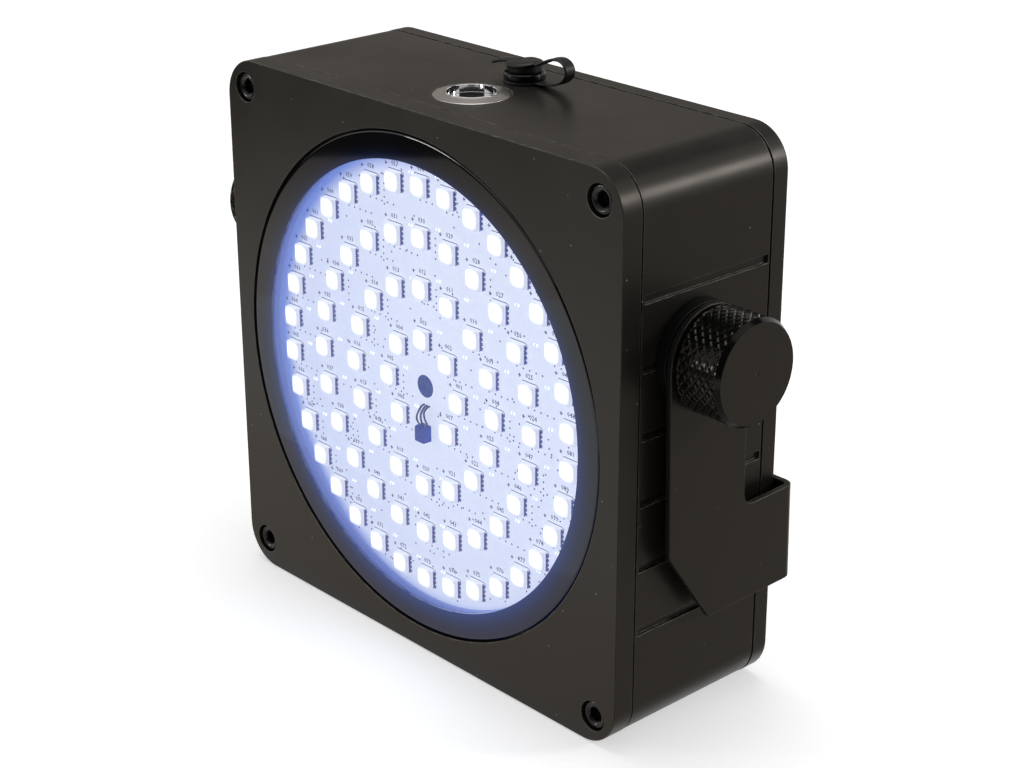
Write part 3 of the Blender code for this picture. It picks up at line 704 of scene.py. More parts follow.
@dataclass(frozen=True)
class LitFinish(Finish):
    """A surface that gives off light, as strong as its vertices' glow attribute says.

    Attributes:
        glow_colour: Colour of the light where glow is 1.
        shade_colour: Colour of the light where glow is 0.
        strength: Strength of the light.
    """

    glow_colour: Colour = (1.0, 1.0, 1.0)
    shade_colour: Colour = (0.0, 0.0, 0.0)
    strength: float = 1.0

    def extend(self, graph: Graph, shader: bpy.types.Node, position: bpy.types.NodeSocket) -> None:
        """Mix the two light colours by the glow attribute, with a little noise.

        Args:
            graph: The material's graph.
            shader: Its Principled shader.
            position: Object coordinates.
        """
        glow = graph.add("Attribute", attribute_name="glow").outputs["Fac"]
        mottle = graph.spread(graph.noise(position, 900.0, 3.0), 0.3, 0.7, 0.96, 1.04)
        light = graph.blend(graph.maths("MULTIPLY", glow, mottle), rgba(self.shade_colour),
                            rgba(self.glow_colour))
        graph.join(light, shader.inputs["Emission Color"])
        shader.inputs["Emission Strength"].default_value = self.strength


@dataclass(frozen=True)
class GlassFinish(Finish):
    """Clear moulded window whose gloss changes a little from place to place."""

    def extend(self, graph: Graph, shader: bpy.types.Node, position: bpy.types.NodeSocket) -> None:
        """Let light through."""
        shader.inputs["Transmission Weight"].default_value = 1.0
        shader.inputs["IOR"].default_value = 1.49


@dataclass(frozen=True)
class BoardFinish(Finish):
    """Green circuit board: lighter tracks run along the two ways of a fine grid.

    Attributes:
        track_colour: Colour of the tracks under the mask.
        pitch: Cells a metre of the track pattern.
    """

    track_colour: Colour = (0.02, 0.26, 0.1)
    pitch: float = 260.0

    def extend(self, graph: Graph, shader: bpy.types.Node, position: bpy.types.NodeSocket) -> None:
        """Draw the tracks as the edges of a brick pattern, seen from the front or back.

        Args:
            graph: The material's graph.
            shader: Its Principled shader.
            position: Object coordinates.
        """
        upright = graph.add("Mapping", {"Vector": position, "Rotation": (math.pi / 2, 0.0, 0.0)})
        brick = graph.add("TexBrick", {
            "Vector": upright.outputs["Vector"], "Scale": self.pitch, "Mortar Size": 0.06,
            "Color1": rgba(self.colour), "Color2": rgba([c * 0.8 for c in self.colour]),
            "Mortar": rgba(self.track_colour)})
        graph.join(brick.outputs["Color"], shader.inputs["Base Color"])


WARM_BLACK = (0.0105, 0.0094, 0.0078)
WARM_GLOSS = (1.0, 0.9, 0.78)
# Painted LED light on the board's print: a dim blue glow.
PRINT_LIGHT_BLUE = (0.01, 0.015, 0.10)
# Painted dim blue light seen in the board's hole.
HOLE_LIGHT_BLUE = (0.02, 0.05, 0.24)


@dataclass(frozen=True)
class Finishes:
    """Every finish of the lamp."""

    # Its light edge colour is partly wear and partly a painted highlight along the edges.
    paint: Finish = Finish(
        "black powder coat", WARM_BLACK, 0.34, specular=0.27, grain=5200.0, bump=0.000006,
        speck=0.1, speck_colour=(0.024, 0.022, 0.02), fleck=0.8, wear_and_highlight=0.95,
        wear_and_highlight_colour=(0.42, 0.39, 0.35), tint=WARM_GLOSS)
    sheet: Finish = Finish(
        "black coat on sheet", WARM_BLACK, 0.32, specular=0.27, grain=6000.0, bump=0.000005,
        speck=0.08, speck_colour=(0.022, 0.02, 0.018), fleck=0.4, wear_and_highlight=0.6,
        wear_and_highlight_colour=(0.26, 0.245, 0.22), tint=WARM_GLOSS)
    knob: Finish = Finish(
        "black anodised", (0.008, 0.0072, 0.006), 0.3, specular=0.3, grain=3800.0, bump=0.000002,
        wear_and_highlight=0.3, wear_and_highlight_colour=(0.08, 0.078, 0.074), tint=WARM_GLOSS)
    # Its darker colour than the knob's finish is painted shade on the knurled length.
    knurl: Finish = Finish(
        "dark knurling", (0.003, 0.0028, 0.0025), 0.16, specular=0.17, grain=3800.0, bump=0.000001,
        spread=0.03, tint=(1.0, 0.95, 0.9))
    # Its light edge colour paints highlight arcs on the heads' edges.
    screw: Finish = Finish(
        "black oxide steel", (0.007, 0.0066, 0.006), 0.22, specular=0.25, grain=2500.0,
        bump=0.000002, wear_and_highlight=0.7, wear_and_highlight_colour=(0.15, 0.148, 0.14))
    # Darker finish for the inside of the screws' hexagons: painted shade.
    hollow: Finish = Finish(
        "dark hollow", (0.003, 0.003, 0.003), 0.6, specular=0.05, grain=2500.0, bump=0.0)
    washer: Finish = Finish(
        "dark washer", (0.004, 0.004, 0.0038), 0.5, specular=0.1, grain=3000.0, bump=0.00001)
    rubber: Finish = Finish(
        "black rubber", (0.007, 0.0068, 0.0062), 0.46, specular=0.25, grain=3000.0, bump=0.00001,
        speck=0.06, speck_colour=(0.02, 0.02, 0.02))
    gloss: Finish = Finish(
        "gloss black moulding", (0.003, 0.003, 0.0028), 0.2, specular=0.25, grain=1600.0,
        bump=0.000001)
    chrome: Finish = Finish(
        "polished chrome", (0.66, 0.66, 0.67), 0.07, metallic=1.0, grain=900.0, bump=0.0000004,
        spread=0.02)
    satin: Finish = Finish(
        "satin chrome", (0.5, 0.48, 0.46), 0.27, metallic=1.0, grain=2600.0, bump=0.000001,
        spread=0.04)
    zinc: Finish = Finish(
        "zinc plated steel", (0.55, 0.56, 0.58), 0.32, metallic=1.0, grain=1800.0, bump=0.000003,
        speck=0.2, speck_colour=(0.7, 0.68, 0.6))
    aluminium: Finish = Finish(
        "milled aluminium", (0.62, 0.62, 0.63), 0.38, metallic=1.0, grain=1500.0, bump=0.000003)
    window: GlassFinish = GlassFinish(
        "clear window", (0.97, 0.98, 1.0), 0.01, grain=120.0, bump=0.0, spread=0.006,
        tint=(0.4, 0.42, 0.48))
    # The border's blue glow is a painted halo of the LEDs' light.
    print_black: LitFinish = LitFinish(
        "black glass border", (0.003, 0.003, 0.0035), 0.05, specular=0.4, grain=900.0, bump=0.0,
        spread=0.02, glow_colour=(0.010, 0.045, 0.22))
    # The opening wall's glow is painted LED light, carried by a thin sheet.
    wall: LitFinish = LitFinish(
        "lit opening wall", (0.01, 0.02, 0.06), 0.3, specular=0.2, grain=2400.0, bump=0.000002,
        glow_colour=(0.13, 0.2, 0.56), shade_colour=(0.04, 0.085, 0.36))
    # The board's glow is painted light of its packages, with painted shade at the left, foot and
    # rim.
    board: LitFinish = LitFinish(
        "white solder mask", (0.2, 0.23, 0.34), 0.32, specular=0.2, grain=2600.0, bump=0.000003,
        glow_colour=(0.64, 0.68, 0.77), shade_colour=(0.07, 0.15, 0.52))
    # The cup in the board's hole glows with painted dim blue light.
    recess: LitFinish = LitFinish(
        "recess behind the board", (0.002, 0.003, 0.02), 0.5, specular=0.0, grain=2400.0, bump=0.0,
        glow_colour=HOLE_LIGHT_BLUE, shade_colour=HOLE_LIGHT_BLUE)
    # Its dark blue shade colour is painted shade at the packages' feet.
    package: LitFinish = LitFinish(
        "lit package", (0.08, 0.1, 0.16), 0.3, specular=0.2, grain=2600.0, bump=0.000002,
        glow_colour=(0.92, 0.96, 1.0), shade_colour=(0.012, 0.02, 0.13), strength=1.6)
    # Its blue is painted LED light on the leads' metal.
    lead: Finish = Finish(
        "soldered lead", (0.13, 0.17, 0.5), 0.3, metallic=0.8, grain=2200.0, bump=0.000004)
    # The chips' glowing ends are painted glints.
    chip: LitFinish = LitFinish(
        "small board part", (0.3, 0.33, 0.42), 0.3, grain=2200.0, bump=0.000003,
        glow_colour=(0.95, 0.97, 1.0), shade_colour=(0.28, 0.31, 0.55), strength=1.1)
    ink: LitFinish = LitFinish(
        "board marking", (0.01, 0.012, 0.07), 0.5, specular=0.0, grain=3000.0, bump=0.0,
        glow_colour=PRINT_LIGHT_BLUE, shade_colour=PRINT_LIGHT_BLUE)
    # The sensor's blue glow is painted LED light, darker to the left.
    sensor: LitFinish = LitFinish(
        "infrared moulding", (0.004, 0.01, 0.07), 0.25, specular=0.08, grain=2400.0, bump=0.000003,
        glow_colour=(0.005, 0.04, 0.30), shade_colour=(0.0, 0.015, 0.14))
    # Its dark blue is painted LED light and shade on the legs' metal.
    leg: Finish = Finish(
        "sensor leg", (0.03, 0.045, 0.2), 0.3, metallic=0.7, grain=2400.0, bump=0.000003)
    pad: Finish = Finish(
        "soft grey pad", (0.3, 0.31, 0.33), 0.8, grain=1400.0, bump=0.00002, speck=0.1)
    wrap: Finish = Finish(
        "cell wrap", (0.03, 0.12, 0.34), 0.3, grain=900.0, bump=0.000004, coat=0.3)
    holder: Finish = Finish(
        "moulded holder", (0.016, 0.016, 0.016), 0.55, grain=2600.0, bump=0.000012)
    green: BoardFinish = BoardFinish(
        "green solder mask", (0.012, 0.11, 0.04), 0.35, grain=2200.0, bump=0.000004)
    display: Finish = Finish(
        "dark display", (0.008, 0.014, 0.03), 0.18, grain=1200.0, bump=0.000001, coat=0.5)


# ---------------------------------------------------------------------------------------------
# Sub-assemblies
# ---------------------------------------------------------------------------------------------


def vectors(items: bpy.types.bpy_prop_collection, name: str) -> np.ndarray:
    """One vector property of a mesh's points or faces.

    Args:
        items: The mesh's points or faces.
        name: The property's name.

    Returns:
        Array of items by three.
    """
    flat = np.empty(len(items) * 3, np.float32)
    items.foreach_get(name, flat)
    return flat.reshape(-1, 3)


def quarter_turn(steps: int) -> np.ndarray:
    """Angles of a quarter round edge, from 0 to a right angle."""
    return np.linspace(0.0, math.pi / 2, steps)


def corner_places(depth: float) -> np.ndarray:
    """The four screw places at one depth, the upper left first."""
    signs = ((-1, 1), (1, 1), (-1, -1), (1, -1))
    return np.stack([at(x * SCREW_OFFSET, depth, HALF + z * SCREW_OFFSET) for x, z in signs])


def key_places(depth: float) -> np.ndarray:
    """The four menu keys' places at one depth, in a row across the back."""
    return np.stack([at((i - 1.5) * KEY_PITCH, depth, KEY_HEIGHT) for i in range(4)])


def rods(name: str, places: np.ndarray, radius: float, length: float, facing: Facing,
         steps: int = 48) -> list[bpy.types.Object]:
    """Round cutters, each centred on its place."""
    profile = [(radius, -length / 2), (radius, length / 2)]
    return [loft_object(name, turned(profile, steps), facing, place) for place in places]


@dataclass
class Assembly:
    """What every sub-assembly needs: the CAD nodes and the finishes."""

    nodes: dict[str, bpy.types.Object]
    finishes: Finishes

    def dress(self, item: bpy.types.Object, finish: Finish, body: str, slot: str,
              *nodes: str) -> bpy.types.Object:
        """Give a finished piece its material, its body and the nodes it stands for.

        Args:
            item: The piece.
            finish: Its finish.
            body: The CAD body that it moves with.
            slot: Not used.
            nodes: CAD nodes that aren't shown because of it.

        Returns:
            The piece.
        """
        item.data.materials.clear()
        item.data.materials.append(finish.material())
        if nodes:
            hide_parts(*nodes)
        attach(item, body)
        LOG.info("%s on %s, %d faces", item.name, body, len(item.data.polygons))
        return item

    def refinish(self, item: bpy.types.Object, finish: Finish,
                 rule: Callable[[np.ndarray], np.ndarray]) -> None:
        """Give some faces of a dressed piece a second finish.

        Args:
            item: The piece.
            finish: The second finish.
            rule: Function from the faces' centres, by three, to whether they get it.
        """
        item.data.materials.append(finish.material())
        chosen = rule(vectors(item.data.polygons, "center"))
        item.data.polygons.foreach_set("material_index", chosen.astype(np.int32))

    def keep(self, finish: Finish, *names: str) -> None:
        """Show CAD nodes as they are, with a finish in their material slots.

        Args:
            finish: The finish.
            names: The nodes.
        """
        for name in names:
            slots = self.nodes[name].material_slots
            if slots:
                for place in slots:
                    place.material = finish.material()
            else:
                self.nodes[name].data.materials.append(finish.material())
            LOG.info("%s kept", name)


@dataclass
class Housing(Assembly):
    """Bezel, body and rear cover, with their eight screws.

    Each cutter of a hole or a pocket is centred on the face that it cuts.
    """

    half: float = HALF
    corner: float = CORNER
    least_corner: float = 0.0012
    inset: float = 0.0001  # how far the body's sides stand in from the bezel's
    bezel_depth: float = 0.0058
    front_round: float = 0.00022
    bezel_soft: float = 0.0001  # width of the rounding of the other edges
    opening: float = 0.06405
    aperture: float = 0.0570
    board_seat: float = 0.0600
    seat_depth: float = 0.0025
    wall_far: float = 0.0043
    body_near: float = 0.0063
    body_far: float = 0.0474
    wall: float = 0.0032
    groove_count: int = 6
    groove_pitch: float = 0.0162
    groove_size: tuple[float, float, float] = (0.0008, 0.0399, 0.0021)
    groove_middle: float = 0.02695
    top_holes: tuple[tuple[str, float, float, float, int], ...] = (
        ("switch seat", SWITCH_DEPTH, 0.0096, 0.0006, 96),
        ("switch hole", SWITCH_DEPTH, 0.00825, 0.02, 96),
        ("socket hole", SOCKET_DEPTH, 0.0046, 0.02, 64))
    pivot_hole: float = 0.0043
    body_soft: float = 0.00028
    cover_near: float = 0.0479
    cover_far: float = 0.0529
    cover_wall: float = 0.0020
    back_round: float = 0.0009
    cover_soft: float = 0.00015
    cover_hollow: tuple[float, float] = (0.112, 0.134)  # a cross of two blocks clears the screws
    display_height: float = 0.106
    display_opening: tuple[float, float, float] = (0.0386, 0.01, 0.0146)
    key_hole: float = 0.0035
    pocket: float = 0.0038
    pocket_cuts: tuple[float, float] = (0.0082, 0.0066)
    screw_hole: float = 0.00235
    head_radius: float = 0.0035
    head_round: float = 0.0006
    hex_apothem: float = 0.0016
    screw_radius: float = 0.0020
    screw_length: float = 0.0150
    screw_tip: float = 1e-5
    angles: np.ndarray = field(default_factory=lambda: spokes(HALF, CORNER, 14, 40))

    def square(self, inward: float) -> np.ndarray:
        """Edge distances of the housing's outline, moved inward."""
        corner = max(self.corner - inward, self.least_corner)
        return rounded_square(self.half - inward, corner, self.angles)

    def rounding(self, radius: float, steps: int = 6) -> list[tuple[np.ndarray, float]]:
        """Outlines of a quarter round edge: inward r (1 - sin t), back r (1 - cos t)."""
        return [(self.square(radius * (1 - math.sin(t))), radius * (1 - math.cos(t)))
                for t in quarter_turn(steps)]

    def shell(self, name: str, radii: list[np.ndarray | float], depths: list[float],
              ring: bool) -> bpy.types.Object:
        """Loft about the housing's middle line.

        Args:
            name: Name of the piece.
            radii: For each outline, its distances from the middle line.
            depths: For each outline, its depth behind the front face.
            ring: True if the last outline joins the first.

        Returns:
            The new object.
        """
        grid = loft(radii, [-d for d in depths], self.angles)
        return loft_object(name, grid, Facing.FRONT, at(0, 0, HALF), ring=ring)

    def build(self) -> None:
        """Build and dress the bezel, the body, the cover and the screws."""
        self.bezel()
        self.body()
        self.cover()
        self.screws("front", depth=0.0006, facing=Facing.FRONT, head=0.0032)
        self.screws("rear", depth=self.cover_far - 0.0001, facing=Facing.BACK, head=0.0029)
        self.keep(self.finishes.rubber, "front_gasket", "rear_gasket")

    def bezel(self) -> None:
        """Square frame with a round stepped opening; its front edge is a quarter round.

        The loft runs from the opening's edge over the face, round the edge, along the side and
        back through the opening's steps, so its outlines go from circles to rounded squares.
        """
        edge = self.rounding(self.front_round)
        radii = [self.opening, *[r for r, _ in edge], self.square(0.0), self.board_seat,
                 self.board_seat, self.aperture, self.aperture, self.opening]
        depths = [0.0, *[d for _, d in edge], self.bezel_depth, self.bezel_depth, self.wall_far,
                  self.wall_far, self.seat_depth, self.seat_depth]
        item = self.shell("bezel", radii, depths, True)
        pockets = rods("pocket", corner_places(0.0), self.pocket, self.pocket_cuts[0], Facing.FRONT)
        holes = rods("hole", corner_places(0.003), self.screw_hole, 0.012, Facing.FRONT, 24)
        cut(item, *pockets, *holes)
        soften(item, self.bezel_soft)
        self.dress(item, self.finishes.paint, "lamp", "black_powder_coat", "front_bezel")

    def body(self) -> None:
        """Hollow square tube with long grooves in each side and holes for what it carries."""
        outer, inner = self.square(self.inset), self.square(self.wall)
        depths = [self.body_near, self.body_far, self.body_far, self.body_near]
        item = self.shell("body", [outer, outer, inner, inner], depths, True)
        depth, length, height = self.groove_size
        thick = 0.002  # of the cutter, which stands partly outside the side
        reach = self.half - self.inset - depth + thick / 2
        middle = (self.groove_count - 1) / 2
        rises = [(i - middle) * self.groove_pitch for i in range(self.groove_count)]
        grooves = [at(sign * reach, self.groove_middle, HALF + rise)
                   for sign in (-1, 1) for rise in rises]
        cutters = [block("groove", place, (thick, length, height)) for place in grooves]
        for name, depth, radius, tall, steps in self.top_holes:
            cutters += rods(name, at(0, depth, TOP)[None], radius, tall, Facing.UP, steps)
        pivots = np.stack([at(s * self.half, PIVOT_DEPTH, PIVOT_HEIGHT) for s in (-1, 1)])
        cutters += rods("pivot hole", pivots, self.pivot_hole, 0.02, Facing.RIGHT)
        cut(item, *cutters)
        soften(item, self.body_soft, 3)
        self.dress(item, self.finishes.paint, "lamp", "black_powder_coat", "body_shell")

    def cover(self) -> None:
        """Rear cover: a rounded plate with a recess inside, a window and four key holes."""
        edge = self.rounding(self.back_round)
        radii = [self.square(0.0), *[r for r, _ in reversed(edge)]]
        depths = [self.cover_near, *[self.cover_far - d for _, d in reversed(edge)]]
        item = self.shell("cover", radii, depths, False)
        inner = self.cover_far - self.cover_wall
        narrow, wide = self.cover_hollow
        deep = 0.010
        cutters = [block("recess", at(0, inner - deep / 2, HALF), size)
                   for size in ((narrow, deep, wide), (wide, deep, narrow))]
        display = at(0, self.cover_far, self.display_height)
        cutters.append(block("window", display, self.display_opening))
        keys = key_places(self.cover_far)
        cutters += rods("key hole", keys, self.key_hole, 0.006, Facing.FRONT, 40)
        corners = corner_places(self.cover_far)
        cutters += rods("pocket", corners, self.pocket, self.pocket_cuts[1], Facing.FRONT)
        cutters += rods("hole", corners, self.screw_hole, 0.02, Facing.FRONT, 24)
        cut(item, *cutters)
        soften(item, self.cover_soft)
        self.dress(item, self.finishes.paint, "lamp", "black_powder_coat", "rear_cover")

    def screws(self, side: str, depth: float, facing: Facing, head: float) -> None:
        """Four cap screws, from the floor of the hexagon up its walls to the tip of the shank.

        The outlines go from hexagons to circles over the flat top, then round the head's edge and
        down the shank. The faces inside the hexagon get a darker finish: painted shade.

        Args:
            side: front or rear.
            depth: Depth of the head's top.
            facing: Where the heads point.
            head: Height of the head.
        """
        angles = full_turn(48)
        hexes = hexagon(self.hex_apothem, angles)
        r, bull = self.head_radius, self.head_round
        shank, end = self.screw_radius, self.screw_length
        edge = [(r - bull * (1 - math.sin(t)), -bull * (1 - math.cos(t))) for t in quarter_turn(5)]
        radii = [self.screw_tip, hexes * 0.98, hexes, 0.0019, 0.0025, *[x for x, _ in edge], r,
                 shank, shank, 0.0016, self.screw_tip]
        heights = [-0.0024, -0.0020, -0.0007, -0.00045, 0.0, *[z for _, z in edge], -head, -head,
                   0.0004 - end, -end, -end]
        grid = loft(radii, heights, angles)
        for i, place in enumerate(corner_places(depth), start=1):
            item = loft_object(f"{side}_cap_screw_{i}", grid, facing, place)
            soften(item, 0.00005, angle=40.0)
            self.dress(item, self.finishes.screw, "lamp", "black_screw", f"{side}_screw_{i}")

            def inside(middle: np.ndarray, place: np.ndarray = place) -> np.ndarray:
                """Whether a face lies in the hexagon: near the axis and below the head's top.

                Args:
                    middle: Centres of the faces, by three.
                    place: Middle of the head's top.

                Returns:
                    True for each face inside.
                """
                height = (middle - place) @ np.array(facing.value[2])
                off = np.linalg.norm(middle - place, axis=1) ** 2 - height**2
                return (height < -0.00055) & (off < 0.0018**2) & (height > -0.0026)

            # The hexagon's faces get the darker finish: painted shade.
            self.refinish(item, self.finishes.hollow, inside)


@dataclass
class LightEngine(Assembly):
    """Window, lit board with its LED packages, sensor and what lies round them."""

    lens_radius: float = 0.0636
    lens_round: float = 0.0006
    border: float = 0.0568  # radius of the clear disc
    glass_span: tuple[float, float] = (0.00027, 0.00148)  # depths of its faces
    border_span: tuple[float, float] = (0.00025, 0.0015)
    wall_light_radius: float = 0.0570
    wall_light_thickness: float = 0.00003
    board_radius: float = 0.0594
    hole: float = 0.0029
    board_near: float = 0.0046
    thickness: float = 0.0016
    led_size: float = 0.0050
    led_height: float = 0.0015
    led_shift: tuple[float, float] = (-0.0001, -0.0006)
    rings: tuple[tuple[float, int, float], ...] = (
        (0.0128, 8, 0.0), (0.0257, 16, 0.0), (0.0385, 24, 0.0), (0.05124, 34, 90.0 / 17.0))
    lead_pitch: float = 0.00118
    print_lift: float = 0.00002  # how far the print lies over the board
    mark_lines: tuple[tuple[Profile, float], ...] = (
        (((-2.7, 2.22), (1.9, 2.26), (2.45, 2.12), (2.78, 1.75), (2.85, 1.2)), 0.0002),
        (((-4.0, 3.22), (-3.1, 3.22)), 0.00026),
        (((-3.55, 2.75), (-3.55, 3.7)), 0.00026))
    number_size: float = 0.00172
    number_shift: tuple[float, float] = (-0.0003, 0.00362)
    via_radius: float = 0.00025
    via_seed: int = 5
    strewn_vias: int = 260
    via_rows: tuple[tuple[float, tuple[float, float], tuple[float, float], int], ...] = (
        (0.5, (-0.0006, -0.0041), (0.00215, 0.0), 5), (0.3, (0.0046, 0.0004), (0.0, -0.0017), 4))
    free_ring: tuple[float, float] = (0.0042, 0.0556)  # radii between which small parts may lie
    free_gap: tuple[float, float] = (0.0030, 0.0029)  # of a via and of a chip to a package's middle
    chip_shift: tuple[float, float] = (0.0058, 0.0029)
    sensor_place: tuple[float, float] = (0.0004, -0.01195)
    sensor_room: tuple[float, float, float] = (-0.009, 0.0028, 0.0055)  # middle, half its sides
    leg_radius: float = 0.00026
    leg_pitch: float = 0.00115
    leg_bends: Profile = ((-0.0006, 0.0003), (0.0, 0.0002), (0.0008, -0.0001))

    def build(self) -> None:
        """Build and dress the window, its border, the board, the packages and the marks."""
        places = self.led_places()
        self.window()
        self.opening_wall()
        self.board(places)
        self.packages(places)
        self.leads(places)
        self.marks(places)
        self.chips(places)
        self.sensor()
        self.keep(self.finishes.rubber, "lens_seal")
        self.keep(self.finishes.pad, "thermal_pad")
        self.keep(self.finishes.aluminium, "heat_spreader")

    def led_places(self) -> np.ndarray:
        """Centres of the packages from the lamp's axis: rings, less the one under the middle.

        Returns:
            Array of places by two, across and up.
        """
        found = []
        for radius, count, first in self.rings:
            angles = math.radians(first) + 2 * math.pi * np.arange(count) / count
            found.append(radius * np.stack((np.cos(angles), np.sin(angles)), axis=-1))
        places = np.concatenate(found)
        left_out = np.hypot(places[:, 0], places[:, 1] + self.rings[0][0]) < 0.001
        return places[~left_out]

    def from_axis(self, co: np.ndarray) -> np.ndarray:
        """Places across and up from the lamp's axis of points in the row frame."""
        return co[:, (0, 2)] - np.array((0.0, HALF), np.float32)

    def spots(self, places: np.ndarray, depth: float) -> np.ndarray:
        """Row-frame points at board places and one depth."""
        depths = np.full(len(places), FRONT_Y + depth)
        return np.stack((places[:, 0], depths, HALF + places[:, 1]), axis=-1)

    def store(self, item: bpy.types.Object, rule: Callable[[np.ndarray], np.ndarray]) -> None:
        """Store the glow attribute from a rule on the points.

        Args:
            item: The piece.
            rule: Function from the points, by three, to their glow.
        """
        value = np.clip(rule(vectors(item.data.vertices, "co")), 0.0, 1.0).astype(np.float32)
        item.data.attributes.new("glow", "FLOAT", "POINT").data.foreach_set("value", value)

    def window(self) -> None:
        """Clear disc, and round it the black border, as thick as the glass with a rounded edge."""
        r, inner, bull = self.lens_radius, self.border, self.lens_round
        near, far = self.glass_span
        disc = [(0, -near), (inner + 0.0002, -near), (inner + 0.0002, -far), (0, -far)]
        glass = lathe("window_glass", disc, Facing.FRONT, at(0, 0, HALF), 192)
        glass.data.set_sharp_from_angle(angle=math.radians(30))
        self.dress(glass, self.finishes.window, "lamp", "clear_lens", "lens_window")
        glass.visible_shadow = False
        glass.visible_diffuse = False
        near, far = self.border_span
        rows = inner + np.linspace(0.0, 1.0, 24) ** 1.6 * (r - bull - inner)
        profile = [(x, -near) for x in rows]
        profile += [(r - bull * (1 - math.sin(t)), -near - bull * (1 - math.cos(t)))
                    for t in quarter_turn(7)[1:]]
        profile += [(r, -far), (inner, -far)]
        border = lathe("window_border", profile, Facing.FRONT, at(0, 0, HALF), 192)
        border.data.set_sharp_from_angle(angle=math.radians(30))
        # The border glows with the painted halo.
        self.store(border, self.halo)
        self.dress(border, self.finishes.print_black, "lamp", "clear_lens")

    def halo(self, co: np.ndarray) -> np.ndarray:
        """Painted halo of the LEDs' light on the border: s exp(-d / l), with d the distance outside
        the clear disc.

        With b from 0 at the top to 1 at the foot, s is (0.3 + 0.6 b) times 0.7 at the left to 1
        at the right, and l is 1 + 2.2 b mm, so the glow is weak and short at the top.

        Args:
            co: Points by three.

        Returns:
            The glow of each point.
        """
        across, up = co[:, 0], co[:, 2] - HALF
        out = np.maximum(np.hypot(across, up) - self.border, 0.0)
        low = np.clip(0.5 - 0.5 * up / self.border, 0.0, 1.0)
        strength = (0.30 + 0.60 * low) * (0.85 + 0.15 * np.clip(across / self.border, -1, 1))
        return strength * np.exp(-out / (0.0010 + 0.0022 * low))

    def opening_wall(self) -> None:
        """Thin sheet on the bezel's round wall between the window and the board, carrying painted
        LED light that is lighter inward.
        """
        r, thin = self.wall_light_radius, self.wall_light_thickness
        profile = [(r - 0.0001, -0.00152), (r - thin, -0.0024), (r - thin, -0.0033),
                   (r - thin, -0.0044), (r + thin, -0.0044), (r + thin, -0.00152)]
        wall_light = lathe("opening_liner", profile, Facing.FRONT, at(0, 0, HALF), 192)
        depths, levels = [0.0015, 0.0033, 0.0044], [0.1, 0.35, 1.0]
        self.store(wall_light, lambda co: np.interp(co[:, 1] - FRONT_Y, depths, levels))
        self.dress(wall_light, self.finishes.wall, "lamp", "black_powder_coat")

    def board(self, places: np.ndarray) -> None:
        """Round board with a hole, and a cup in the hole that carries a painted dim blue light.

        Args:
            places: The packages' places.
        """
        r, hole, far = self.board_radius, self.hole, self.board_near + self.thickness
        rows = np.concatenate(([hole, hole + 0.00015], np.linspace(0.0035, r, 100)))
        profile = [(x, -self.board_near) for x in rows] + [(r, -far), (hole, -far)]
        item = lathe("circuit_board", profile, Facing.FRONT, at(0, 0, HALF), 360)
        self.store(item, lambda co: self.board_light(co, places))
        self.dress(item, self.finishes.board, "lamp", "white_board", "led_board")
        inner, outer = hole - 0.0001, hole + 0.00002
        profile = [(0, -0.0015), (inner, -0.0014), (inner, -0.00001), (outer, -0.00001),
                   (outer, -0.0017), (0, -0.0017)]
        cup = lathe("board_recess", profile, Facing.FRONT, at(0, self.board_near, HALF), 64)
        self.store(cup, lambda co: np.ones(len(co)))
        self.dress(cup, self.finishes.recess, "lamp", "white_board")

    def board_light(self, co: np.ndarray, places: np.ndarray) -> np.ndarray:
        """Painted light on the board: 0.86 + 0.3 exp(-(d / 3 mm)^2) - m - 0.75 e^1.2.

        d is the distance to the nearest package, m is painted shade that grows to 0.16 at the left
        and by 0.08 at the foot, and e goes from 0 to 1 over the last 4.8 mm round a point 2.8 mm
        right of the middle, so that the left rim takes the blue of painted shade.

        Args:
            co: Points by three.
            places: The packages' places.

        Returns:
            The glow of each point.
        """
        flat = self.from_axis(co)
        near = np.linalg.norm(flat[:, None] - places[None], axis=-1).min(axis=1)
        away = np.linalg.norm(flat - np.array((0.0028, -0.0008)), axis=1)
        rim = np.clip((away - 0.0540) / 0.0048, 0.0, 1.0)
        left, foot = (np.clip(-flat[:, i] / full, 0.0, 1.0) for i, full in ((0, 0.045), (1, 0.05)))
        painted_shade = 0.16 * left + 0.08 * foot
        return 0.86 + 0.3 * np.exp(-((near / 0.003) ** 2)) - painted_shade - 0.75 * rim**1.2

    def packages(self, places: np.ndarray) -> None:
        """All packages: a square block whose round-cornered cup is filled with lit gel.

        Args:
            places: The packages' places.
        """
        angles = spokes(1.0, 0.3, 3, 4)
        half, tall = self.led_size / 2, self.led_height
        rows = [(half, 0.02, 0.0), (half, 0.02, 0.00055), (half, 0.02, 0.0007),
                (half, 0.02, tall - 0.0001), (half - 0.0001, 0.03, tall), (0.0023, 0.15, tall),
                (0.0021, 0.25, tall), (0.0019, 0.3, tall - 0.00006), (0.0016, 0.4, tall - 0.0001),
                (0.0012, 0.4, tall - 0.0001), (1e-6, 0.5, tall - 0.0001)]
        radii = [rounded_square(h, h * c, angles) for h, c, _ in rows]
        grid = loft(radii, [z for _, _, z in rows], angles)
        faces = grid_quads(len(rows), len(angles), False)
        template = Facing.FRONT.place(grid.reshape(-1, 3), np.zeros(3))
        middles = places + self.led_shift
        item = array_object("led_packages", template, faces, self.spots(middles, self.board_near))
        self.store(item, lambda co: self.gel(co, middles))
        self.dress(item, self.finishes.package, "lamp", "white_board")

